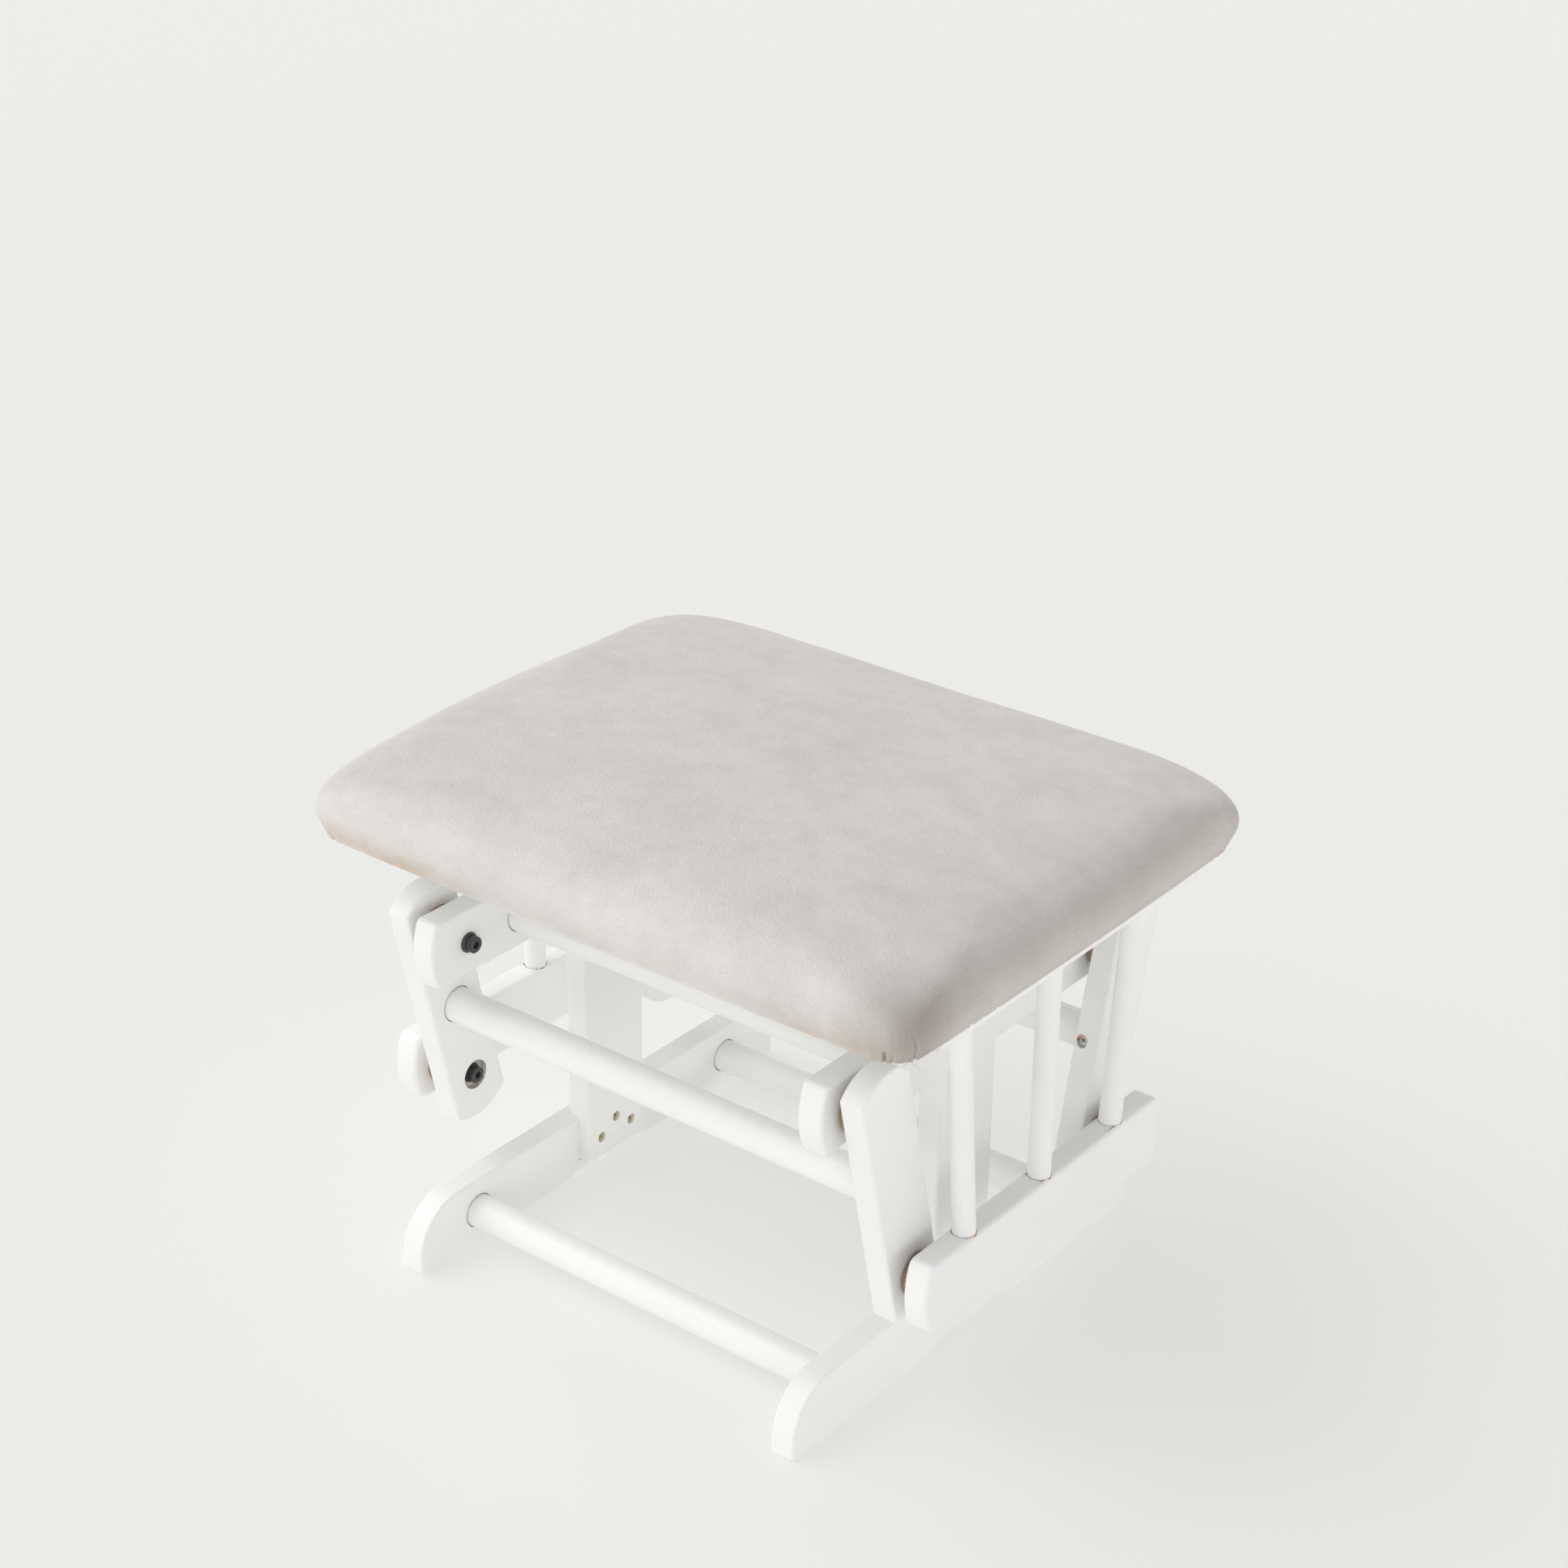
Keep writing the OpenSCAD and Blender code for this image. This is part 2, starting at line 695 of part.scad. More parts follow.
// Half sizes of the flat of the top, and its corner radius, kept clear of the middle
flat_a = cushion_w / 2 + side_out - shoulder_w;
flat_b = cushion_d / 2 + side_out - shoulder_w;
flat_r = min(top_r, flat_b - hem_wall);

function mix(a, b, share) = a + (b - a) * share;

// Points of one corner of a rounded rectangle with half sizes a and b, corner k of 4
function corner(a, b, r, k) = [
    for (i = [0 : corner_steps])
        let (turn = quarter_turn * (k + i / corner_steps),
             sx = (k == 0 || k == 3) ? 1 : -1,
             sy = (k < 2) ? 1 : -1)
        [sx * (a - r) + r * cos(turn), sy * (b - r) + r * sin(turn)]
];

// Points between two corners, bowed outward in the middle
function side(p, q, bow) = let (n = [q.y - p.y, p.x - q.x] / norm(q - p)) [
    for (i = [1 : edge_steps - 1])
        let (t = i / edge_steps) mix(p, q, t) + n * bow * 4 * t * (1 - t)
];

function ring(a, b, r, bow) = [
    for (k = [0 : 3])
        let (c = corner(a, b, r, k), next = corner(a, b, r, (k + 1) % 4))
        each concat(c, side(c[corner_steps], next[0], bow))
];

function at_height(points, z) = [for (p = points) [p.x, p.y, z]];

// Rings of the side, drawn in towards the hem
side_rings = [
    for (i = [0 : side_steps]) let (t = i / side_steps, out = side_out * sin(quarter_turn * t))
        at_height(ring(cushion_w / 2 + out, cushion_d / 2 + out, mix(hem_r, wide_r, t), side_bow * t),
            mix(hem_z, wide_z, t))
];

// Rings of the shoulder, on a squared quarter round that opens into soft corners
shoulder_rings = [
    for (i = [1 : shoulder_steps])
        let (t = i / shoulder_steps, turn = quarter_turn * t,
             inset = shoulder_w * (1 - pow(cos(turn), 2 / shoulder_power)),
             rise = shoulder_h * pow(sin(turn), 2 / shoulder_power))
        at_height(ring(cushion_w / 2 + side_out - inset, cushion_d / 2 + side_out - inset,
            mix(wide_r, flat_r, t), side_bow * (1 - t)), wide_z + rise)
];

// Rings of the crown, shrinking towards the middle
crown_rings = [
    for (s = crown_shares)
        at_height(ring(flat_a * s, flat_b * s, flat_r * s, 0), shoulder_z + crown_h * (1 - s * s))
];

cushion_rings = concat(side_rings, shoulder_rings, crown_rings);
ring_count = len(cushion_rings);
ring_points = len(cushion_rings[0]);

// Triangles between ring k and the next one
function band(k) = [
    for (i = [0 : ring_points - 1])
        let (j = (i + 1) % ring_points, a = k * ring_points, b = (k + 1) * ring_points)
        each [[a + i, b + j, a + j], [a + i, b + i, b + j]]
];

module cushion_body() {
    top = ring_count * ring_points;
    bottom = top + 1;
    last = (ring_count - 1) * ring_points;
    polyhedron(
        points = concat([for (r = cushion_rings) each r],
            [[0, 0, shoulder_z + crown_h], [0, 0, hem_z]]),
        faces = concat(
            [for (k = [0 : ring_count - 2]) each band(k)],
            [for (i = [0 : ring_points - 1]) [last + i, top, last + (i + 1) % ring_points]],
            [for (i = [0 : ring_points - 1]) [i, (i + 1) % ring_points, bottom]]
        ),
        convexity = 4
    );
}

// The cover and foam are one soft piece that sits over the seat board
module cushion() {
    color("silver") difference() {
        cushion_body();
        slab(cover_gap, hem_z - cut, ply_top + cover_gap);
    }
}

runner_left();
runner_right();
post_left();
post_right();
arm_left();
arm_right();
base_stretcher_front();
base_stretcher_rear();
arm_stretcher_front();
arm_stretcher_rear();
post_screws();
arm_screws();
arm_bushes();
front_link_left();
front_link_right();
front_link_stretcher();
front_lock_screws();
front_upper_bolts();
front_upper_washers();
front_upper_spacers();
front_link_inserts();
front_lower_bushes();
rear_link_left();
rear_link_right();
rear_link_stretcher();
rear_lock_screws();
rear_upper_bolts();
rear_upper_washers();
rear_upper_spacers();
rear_link_inserts();
lower_rail_left();
lower_rail_right();
upper_rail_left();
upper_rail_right();
spindle_left_front();
spindle_left_middle();
spindle_left_rear();
spindle_right_front();
spindle_right_middle();
spindle_right_rear();
seat_board();
seat_lining();
cushion();
pad_screws();
front_lower_bolts();
rear_lower_bolts();
lower_washers();
lower_spacers();
rail_inserts();
rear_lower_bushes();
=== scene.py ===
import json
import math

import bmesh
import bpy
from mathutils import Matrix, Vector, noise


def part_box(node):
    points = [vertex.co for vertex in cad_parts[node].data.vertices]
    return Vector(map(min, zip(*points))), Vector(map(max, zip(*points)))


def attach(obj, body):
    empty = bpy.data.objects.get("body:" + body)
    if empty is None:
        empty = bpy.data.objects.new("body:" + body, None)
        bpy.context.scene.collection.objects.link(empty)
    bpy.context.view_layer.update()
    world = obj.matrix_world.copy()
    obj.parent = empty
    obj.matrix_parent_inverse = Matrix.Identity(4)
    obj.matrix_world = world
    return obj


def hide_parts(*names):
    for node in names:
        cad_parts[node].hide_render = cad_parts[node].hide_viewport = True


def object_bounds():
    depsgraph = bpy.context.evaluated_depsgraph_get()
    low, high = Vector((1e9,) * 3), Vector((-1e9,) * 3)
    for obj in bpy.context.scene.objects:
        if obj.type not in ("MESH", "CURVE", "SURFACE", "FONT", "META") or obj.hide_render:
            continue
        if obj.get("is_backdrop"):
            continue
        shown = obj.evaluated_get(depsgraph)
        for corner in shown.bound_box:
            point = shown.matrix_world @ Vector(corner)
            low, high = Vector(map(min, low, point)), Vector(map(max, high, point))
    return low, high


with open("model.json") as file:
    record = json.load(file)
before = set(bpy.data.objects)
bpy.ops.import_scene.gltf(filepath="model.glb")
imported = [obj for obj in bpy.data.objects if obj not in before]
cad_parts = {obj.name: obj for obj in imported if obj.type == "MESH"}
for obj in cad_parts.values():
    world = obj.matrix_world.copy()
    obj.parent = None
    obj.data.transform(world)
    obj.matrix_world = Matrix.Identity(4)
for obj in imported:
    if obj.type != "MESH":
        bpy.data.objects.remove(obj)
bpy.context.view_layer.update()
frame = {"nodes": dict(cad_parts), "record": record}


# Camera.
# A long lens looks down on the front right corner of the stool from standing height. Its angles,
# its focal length in pixels and its place come from the straight edges of the boards.
azimuth, elevation, roll = math.radians(37.829), math.radians(25.892), math.radians(0.727)
photo_width = 1932
focal_px = 3824.5
camera = bpy.data.objects.new("camera", bpy.data.cameras.new("camera"))
bpy.context.scene.collection.objects.link(camera)
bpy.context.scene.camera = camera
camera.data.sensor_width = 36
camera.data.lens = camera.data.sensor_width * focal_px / photo_width
camera.location = (1.16393, -1.49026, 1.28082)
camera.rotation_euler = (
    Matrix.Rotation(azimuth, 3, "Z")
    @ Matrix.Rotation(math.pi / 2 - elevation, 3, "X")
    @ Matrix.Rotation(roll, 3, "Z")
).to_euler()


# Studio.
# A softly glowing pale floor, a surround that is brightest near the horizon, two wide soft lamps
# from the front left and the left, and a weak low fill from the front right.
def link_object(name, mesh):
    made = bpy.data.objects.new(name, mesh)
    bpy.context.scene.collection.objects.link(made)
    return made


def sun(name, towards, strength, softness):
    lamp = link_object(name, bpy.data.lights.new(name, "SUN"))
    lamp.data.energy = strength
    lamp.data.angle = math.radians(softness)
    lamp.rotation_euler = Vector(towards).to_track_quat("-Z", "Y").to_euler()


world = bpy.data.worlds.new("surround")
bpy.context.scene.world = world
world.use_nodes = True
nodes, links = world.node_tree.nodes, world.node_tree.links
bearing = nodes.new("ShaderNodeTexCoord")
heading = nodes.new("ShaderNodeSeparateXYZ")
glow = nodes.new("ShaderNodeMapRange")
at_horizon, overhead = 1.66, 0.28
for socket, value in (
    ("From Min", 0.1), ("From Max", 0.6), ("To Min", at_horizon), ("To Max", overhead),
):
    glow.inputs[socket].default_value = value
surround = nodes["Background"]
surround.inputs["Color"].default_value = (1, 1, 1, 1)
links.new(bearing.outputs["Generated"], heading.inputs[0])
links.new(heading.outputs["Z"], glow.inputs["Value"])
links.new(glow.outputs["Result"], surround.inputs["Strength"])
seen = nodes.new("ShaderNodeBackground")
seen.inputs["Color"].default_value = (0.855, 0.855, 0.838, 1)
path = nodes.new("ShaderNodeLightPath")
either = nodes.new("ShaderNodeMath")
either.operation = "MAXIMUM"
links.new(path.outputs["Is Camera Ray"], either.inputs[0])
links.new(path.outputs["Is Glossy Ray"], either.inputs[1])
sky = nodes.new("ShaderNodeMixShader")
links.new(either.outputs[0], sky.inputs["Fac"])
links.new(surround.outputs[0], sky.inputs[1])
links.new(seen.outputs[0], sky.inputs[2])
links.new(sky.outputs[0], nodes["World Output"].inputs["Surface"])

sun("key", (0.55, 0.74, -1.20), 0.64, 40)
sun("side light", (0.76, 0.10, -0.78), 0.92, 50)
sun("low fill", (-0.75, 0.62, -0.16), 0.23, 60)

floor_mesh = bpy.data.meshes.new("floor")
bm = bmesh.new()
bmesh.ops.create_grid(bm, x_segments=1, y_segments=1, size=14)
bm.to_mesh(floor_mesh)
bm.free()
floor = link_object("floor", floor_mesh)
floor_finish = bpy.data.materials.new("pale floor")
floor_finish.use_nodes = True
paper = floor_finish.node_tree.nodes["Principled BSDF"]
paper.inputs["Base Color"].default_value = (0.40, 0.40, 0.39, 1)
paper.inputs["Emission Color"].default_value = (1.0, 1.0, 0.975, 1)
paper.inputs["Emission Strength"].default_value = 0.485
paper.inputs["Roughness"].default_value = 0.9
paper.inputs["Specular IOR Level"].default_value = 0.1
floor_mesh.materials.append(floor_finish)
floor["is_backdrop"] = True
bpy.context.scene.view_settings.view_transform = "Standard"


# White lacquer, the finish of every board and dowel.
# A thin satin coat over solid wood; bare brown wood shows only inside the holes and in the hairline
# cracks where a dowel meets its board.
mm = 0.001


def new_finish(name):
    finish = bpy.data.materials.new(name)
    finish.use_nodes = True
    return finish, finish.node_tree.nodes["Principled BSDF"]


def put(finish, kind, settings=(), values=()):
    """A shader node with its properties and the values of its inputs."""
    node = finish.node_tree.nodes.new("ShaderNode" + kind)
    for key, value in dict(settings).items():
        setattr(node, key, value)
    for key, value in dict(values).items():
        node.inputs[key].default_value = value
    return node


def wire(finish, source, target):
    finish.node_tree.links.new(source, target)


def spots(finish, where, scale, detail, low, high, stretch=(1, 1, 1)):
    """Noise of a given scale, spread between low and high."""
    mapping = put(finish, "Mapping", values={"Scale": stretch})
    cloud = put(finish, "TexNoise", values={"Scale": scale, "Detail": detail, "Roughness": 0.55})
    levels = put(
        finish, "MapRange",
        values={"From Min": 0.3, "From Max": 0.7, "To Min": low, "To Max": high})
    wire(finish, where, mapping.inputs["Vector"])
    wire(finish, mapping.outputs["Vector"], cloud.inputs["Vector"])
    wire(finish, cloud.outputs["Fac"], levels.inputs["Value"])
    return levels.outputs["Result"]


def sums(finish, operation, *terms):
    """Chains a Math operation over sockets and plain numbers."""
    total = terms[0]
    for term in terms[1:]:
        node = put(finish, "Math", {"operation": operation})
        for slot, value in enumerate((total, term)):
            if isinstance(value, (int, float)):
                node.inputs[slot].default_value = value
            else:
                wire(finish, value, node.inputs[slot])
        total = node.outputs[0]
    return total


def blended(finish, share, first, second):
    """A colour between two others, by a socket from 0 to 1."""
    node = put(finish, "Mix", {"data_type": "RGBA"})
    wire(finish, share, node.inputs["Factor"])
    for slot, colour in (("A", first), ("B", second)):
        target = next(i for i in node.inputs if i.name == slot and i.type == "RGBA")
        if isinstance(colour, tuple):
            target.default_value = colour
        else:
            wire(finish, colour, target)
    return next(o for o in node.outputs if o.type == "RGBA")


def relief(finish, shader, height, depth, under=None):
    """Bump of a given depth in metres, on top of another bump if one is given."""
    bump = put(finish, "Bump", values={"Strength": 1.0, "Distance": depth})
    wire(finish, height, bump.inputs["Height"])
    if under is not None:
        wire(finish, under.outputs["Normal"], bump.inputs["Normal"])
    wire(finish, bump.outputs["Normal"], shader.inputs["Normal"])
    return bump


def object_place(finish):
    return put(finish, "TexCoord").outputs["Object"]


def inside_hole(finish, where, plane, centre, radius, depth):
    """1 in a blind hole and its mirror images: a circle with a wavering edge, open to one side.

    The circle lies in the plane YZ and the hole reaches outwards to x = depth, or it lies in the
    plane XY and the hole reaches down to z = depth.
    """
    keep = {"XY": (1, 1, 0), "YZ": (0, 1, 1)}[plane]
    even = put(finish, "VectorMath", {"operation": "ABSOLUTE"})
    flat = put(finish, "VectorMath", {"operation": "MULTIPLY_ADD"})
    flat.inputs[1].default_value = keep
    flat.inputs[2].default_value = tuple(-c * k for c, k in zip(centre, keep))
    far = put(finish, "VectorMath", {"operation": "LENGTH"})
    wire(finish, where, even.inputs[0])
    wire(finish, even.outputs[0], flat.inputs[0])
    wire(finish, flat.outputs[0], far.inputs[0])
    waver = spots(finish, where, 160, 2, -0.3 * mm, 0.3 * mm)
    from_middle = sums(finish, "SUBTRACT", far.outputs["Value"], waver)
    round_it = sums(finish, "LESS_THAN", from_middle, radius)
    split = put(finish, "SeparateXYZ")
    wire(finish, even.outputs[0], split.inputs[0])
    if plane == "YZ":
        within = sums(finish, "LESS_THAN", split.outputs["X"], depth)
    else:
        within = sums(finish, "GREATER_THAN", split.outputs["Z"], depth)
    return sums(finish, "MULTIPLY", round_it, within)


def beyond(finish, where, axis, limit):
    """1 where the distance from the middle along an axis is more than a limit."""
    split = put(finish, "SeparateXYZ")
    wire(finish, where, split.inputs[0])
    return sums(finish, "GREATER_THAN", sums(finish, "ABSOLUTE", split.outputs[axis], 0), limit)


def lacquer(name, bare=None, grain=(1, 1, 1), thin=None):
    """White satin lacquer; bare and thin list sockets that are 1 on raw and on veiled wood."""
    finish, shader = new_finish(name)
    where = object_place(finish)
    fresh_white, dull_white = (0.915, 0.915, 0.905, 1), (0.893, 0.893, 0.880, 1)
    pale_veil, brown_veil = (0.80, 0.76, 0.71, 1), (0.56, 0.49, 0.43, 1)
    dark_fibre, light_fibre = (0.50, 0.29, 0.20, 1), (0.66, 0.46, 0.33, 1)
    white = blended(finish, spots(finish, where, 9, 3, 0, 1), fresh_white, dull_white)
    sheen = spots(finish, where, 40, 3, 0.38, 0.5)
    if thin:
        veil = blended(finish, spots(finish, where, 130, 3, 0, 1), pale_veil, brown_veil)
        white = blended(finish, sums(finish, "MAXIMUM", *thin(finish, where), 0), white, veil)
    if bare:
        raw = sums(finish, "MAXIMUM", *bare(finish, where), 0)
        fibre = blended(finish, spots(finish, where, 260, 4, 0, 1), dark_fibre, light_fibre)
        white = blended(finish, raw, white, fibre)
        sheen = sums(finish, "ADD", sheen, sums(finish, "MULTIPLY", raw, 0.4))
    wire(finish, white, shader.inputs["Base Color"])
    wire(finish, sheen, shader.inputs["Roughness"])
    shader.inputs["Specular IOR Level"].default_value = 0.45
    coat = relief(finish, shader, spots(finish, where, 420, 2, 0, 1), 0.03 * mm)
    relief(finish, shader, spots(finish, where, 60, 4, 0, 1, stretch=grain), 0.12 * mm, under=coat)
    return finish


# Boards: runners, posts, arms, links and rails.
# Each is cut from 19 mm solid wood, drilled for its dowels and bolts, sanded round along its outer
# edges and lacquered.
carried_by = {
    node: body for body, nodes in frame["record"]["behaviour"]["bodies"].items() for node in nodes
}


def loose_copy(node):
    """A CAD node's mesh without the shading it was packed with."""
    plain = frame["nodes"][node].data.copy()
    for layer in ("custom_normal", "sharp_edge", "sharp_face"):
        if layer in plain.attributes:
            plain.attributes.remove(plain.attributes[layer])
    bm = bmesh.new()
    bm.from_mesh(plain)
    bpy.data.meshes.remove(plain)
    return bm


def merged_copy(node):
    """A joined-up copy of a CAD node with its flat faces in one piece each."""
    bm = loose_copy(node)
    bmesh.ops.remove_doubles(bm, verts=bm.verts, dist=0.01 * mm)
    bmesh.ops.dissolve_limit(
        bm, angle_limit=math.radians(0.5), use_dissolve_boundaries=False, verts=bm.verts,
        edges=bm.edges, delimit={"NORMAL"},
    )
    return bm


def spread(start, left, neighbours):
    """Takes everything out of left that hangs together with a start, and lists it."""
    left.discard(start)
    group = [start]
    for item in group:
        for other in neighbours(item):
            if other in left:
                left.discard(other)
                group.append(other)
    return group


def chains(edges):
    """Sorts edges into chains that touch each other, the longest first."""
    left, runs = set(edges), []
    for edge in edges:
        if edge in left:
            runs.append(spread(edge, left, lambda e: [o for v in e.verts for o in v.link_edges]))
    return sorted(runs, key=lambda run: -sum(e.calc_length() for e in run))


def around(run):
    """The vertices of a closed chain in their order round it."""
    edge = run[0]
    first, vert = edge.verts
    ring = [first]
    while vert is not first:
        ring.append(vert)
        edge = next(e for e in vert.link_edges if e in run and e is not edge)
        vert = edge.other_vert(vert)
    return ring


def without_holes(bm):
    """Spreads each drilled flat side over its holes, and marks the side and the holes' rims."""
    side_mark = bm.faces.layers.int.new("side")
    rim_mark = bm.verts.layers.int.new("rim")
    left, number = set(bm.faces), 0
    for first in list(bm.faces):
        if first not in left:
            continue
        flat = first.normal.copy()
        group = spread(first, left, lambda f: [
            o for e in f.edges for o in e.link_faces if o.normal.dot(flat) > 0.9999])
        inside = set(group)
        outline = chains([
            e for f in group for e in f.edges if sum(g in inside for g in e.link_faces) == 1])
        if len(outline) < 2:
            continue
        number += 1
        ring = around(outline[0])
        for run in outline[1:]:
            for edge in run:
                for vert in edge.verts:
                    vert[rim_mark] = number
        bmesh.ops.delete(bm, geom=group, context="FACES_ONLY")
        inner = [e for e in bm.edges if not e.link_faces]
        bmesh.ops.delete(bm, geom=inner, context="EDGES")
        side = bm.faces.new(ring)
        side.normal_update()
        if side.normal.dot(flat) < 0:
            side.normal_flip()
        side[side_mark] = number
    return number


def open_holes(bm, count):
    """Fills each marked side again, up to the rims of its holes."""
    longest = 12 * mm
    side_mark, rim_mark = bm.faces.layers.int["side"], bm.verts.layers.int["rim"]
    for number in range(1, count + 1):
        side = max((f for f in bm.faces if f[side_mark] == number), key=lambda f: f.calc_area())
        for edge in list(side.edges):
            parts = int(edge.calc_length() / longest)
            if parts:
                bmesh.ops.subdivide_edges(bm, edges=[edge], cuts=parts)
        normal, rim = side.normal.copy(), list(side.edges)
        bmesh.ops.delete(bm, geom=[side], context="FACES_ONLY")
        rim += [
            e for e in bm.edges if e.is_boundary and all(v[rim_mark] == number for v in e.verts)]
        bmesh.ops.triangle_fill(
            bm, use_beauty=True, use_dissolve=False, edges=rim, normal=normal)


def bevel(bm, edges, radius, steps):
    bmesh.ops.bevel(
        bm, geom=list(edges), offset=radius, offset_type="OFFSET", segments=steps, profile=0.5,
        affect="EDGES", clamp_overlap=False, loop_slide=True, material=-1,
    )


def finish_piece(bm, name, body, finishes, replaced=(), smooth_below=35):
    """Makes a mesh into a piece that rides on its body and takes its material."""
    mesh = bpy.data.meshes.new(name)
    bmesh.ops.recalc_face_normals(bm, faces=bm.faces)
    bm.to_mesh(mesh)
    bm.free()
    for material in finishes:
        mesh.materials.append(material)
    mesh.shade_smooth()
    mesh.set_sharp_from_angle(angle=math.radians(smooth_below))
    piece = link_object(name, mesh)
    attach(piece, body)
    if replaced:
        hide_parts(*replaced)
    return piece


def board(node, material, radius=2.2 * mm, tight=None):
    """A CAD board with its outer edges sanded round; tight says which of those edges stay crisp."""
    bm = merged_copy(node)
    sides = without_holes(bm)
    corner_angle, shortest_outline = math.radians(30), 150 * mm
    sharp = [
        e for e in bm.edges if len(e.link_faces) == 2 and e.calc_face_angle(0) > corner_angle]
    for run in chains(sharp):
        if sum(e.calc_length() for e in run) > shortest_outline:
            soft = [e for e in run if not (tight and tight(e))]
            bevel(bm, soft, radius, 4)
    open_holes(bm, sides)
    piece = finish_piece(bm, node + "_board", carried_by[node], [material], [node])
    shading = piece.modifiers.new("even shading", "WEIGHTED_NORMAL")
    shading.keep_sharp = True
    return piece


def middle_of(node):
    """The middle of a CAD node's box."""
    low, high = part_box(node)
    return (low + high) / 2


def hole_of(dowel, play=0.5 * mm):
    """Where a dowel across the stool stands, its hole's radius and how far out that reaches."""
    low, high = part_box(dowel)
    centre = middle_of(dowel)
    return (0, abs(centre.y), centre.z), (high.z - low.z) / 2 + play, high.x + 2 * mm


post_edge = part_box("post_right")[1].y + 0.5 * mm


def in_housing(edge):
    """Edges of the slot that holds a post."""
    return all(abs(v.co.y) < post_edge for v in edge.verts)


runner_finish = lacquer(
    "white lacquer on runners",
    lambda f, w: [inside_hole(f, w, "YZ", *hole_of("base_stretcher_rear"))], grain=(9, 1, 9))
arm_finish = lacquer(
    "white lacquer on arms",
    lambda f, w: [inside_hole(f, w, "YZ", *hole_of("arm_stretcher_rear"))], grain=(9, 1, 9))
post_finish = lacquer("white lacquer on posts", grain=(9, 9, 1))


def counterbore(f, w):
    """The recess round a lower pivot."""
    radius, deepest = 11.3 * mm, 199 * mm
    spot = middle_of("rear_lower_bushes")
    return [inside_hole(f, w, "YZ", (0, abs(spot.y), spot.z), radius, deepest)]


lean = math.radians(13.25)


def lock_holes(f, w):
    """Raw wood in the holes over the lock screws, which lie square to the leaning links."""
    radius, above_head, below_head = 4.4 * mm, -2.7 * mm, 4 * mm
    aim = Vector((0, math.cos(lean), -math.sin(lean)))
    low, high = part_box("rear_lock_screws")
    head = Vector((high.x - 4 * mm, (low.y + high.y) / 2, (low.z + high.z) / 2)) - aim * 9 * mm
    even = put(f, "VectorMath", {"operation": "ABSOLUTE"})
    offset = put(f, "VectorMath", {"operation": "SUBTRACT"})
    offset.inputs[1].default_value = head
    wire(f, w, even.inputs[0])
    wire(f, even.outputs[0], offset.inputs[0])
    aside = put(f, "VectorMath", {"operation": "CROSS_PRODUCT"})
    along = put(f, "VectorMath", {"operation": "DOT_PRODUCT"})
    for node in (aside, along):
        wire(f, offset.outputs[0], node.inputs[0])
        node.inputs[1].default_value = aim
    far = put(f, "VectorMath", {"operation": "LENGTH"})
    wire(f, aside.outputs[0], far.inputs[0])
    near = sums(f, "LESS_THAN", far.outputs["Value"], radius)
    below = sums(f, "GREATER_THAN", along.outputs["Value"], above_head)
    above = sums(f, "LESS_THAN", along.outputs["Value"], below_head)
    return sums(f, "MULTIPLY", near, below, above)


link_finish = lacquer(
    "white lacquer on links",
    lambda f, w: [inside_hole(f, w, "YZ", *hole_of("rear_link_stretcher")), lock_holes(f, w)],
    grain=(9, 9, 1), thin=counterbore)


def spindle_holes(f, w):
    """Raw wood in the holes for the spindles in the top of a lower rail."""
    low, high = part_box("lower_rail_right")
    side, deep, radius, spacing = (low.x + high.x) / 2, high.z - 14 * mm, 8.5 * mm, 87 * mm
    return [inside_hole(f, w, "XY", (side, y, 0), radius, deep) for y in (0, spacing)]


rail_finish = lacquer("white lacquer on lower rails", spindle_holes, grain=(9, 1, 9))


def rubbed_ends(f, w):
    """Thin paint at the front and rear ends of the upper rails."""
    worn = sums(f, "MULTIPLY", beyond(f, w, "Y", 146 * mm), spots(f, w, 70, 3, 0, 0.5))
    return [worn]


top_rail_finish = lacquer("white lacquer on upper rails", grain=(9, 1, 9), thin=rubbed_ends)

for side in ("left", "right"):
    board("runner_" + side, runner_finish, tight=in_housing)
    board("arm_" + side, arm_finish, tight=in_housing)
    board("post_" + side, post_finish)
    board("front_link_" + side, link_finish)
    board("rear_link_" + side, link_finish)
    board("lower_rail_" + side, rail_finish, radius=3 * mm)
    board("upper_rail_" + side, top_rail_finish, radius=1.5 * mm)


# Dowels: four stretchers in the base, one between each pair of links, and six spindles.
# Turned hardwood rods, glued into blind holes before painting, so the paint has cracked round them.
def across(dowels, stop):
    """Lacquer for dowels across the stool, which are raw inside the boards that stop them."""
    low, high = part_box(stop)
    inner = min(abs(low.x), abs(high.x)) + 0.2 * mm
    return lacquer(
        "white lacquer on " + dowels, lambda f, w: [beyond(f, w, "X", inner)], grain=(1, 9, 9))


def paint_node(node, material):
    """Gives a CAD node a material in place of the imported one."""
    for slot in frame["nodes"][node].material_slots:
        slot.material = material


dowel_finish = across("base and arm stretchers", "runner_right")
link_dowel_finish = across("link stretchers", "rear_link_right")
rail_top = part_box("lower_rail_right")[1].z


def below_rail(f, w):
    """The feet of the spindles, inside the lower rails."""
    split = put(f, "SeparateXYZ")
    wire(f, w, split.inputs[0])
    return [sums(f, "LESS_THAN", split.outputs["Z"], rail_top - 0.2 * mm)]


spindle_finish = lacquer("white lacquer on spindles", below_rail, grain=(9, 9, 1))
for node in frame["nodes"]:
    if node.startswith(("base_stretcher", "arm_stretcher")):
        paint_node(node, dowel_finish)
    elif node.endswith("link_stretcher"):
        paint_node(node, link_dowel_finish)
    elif node.startswith("spindle"):
        paint_node(node, spindle_finish)


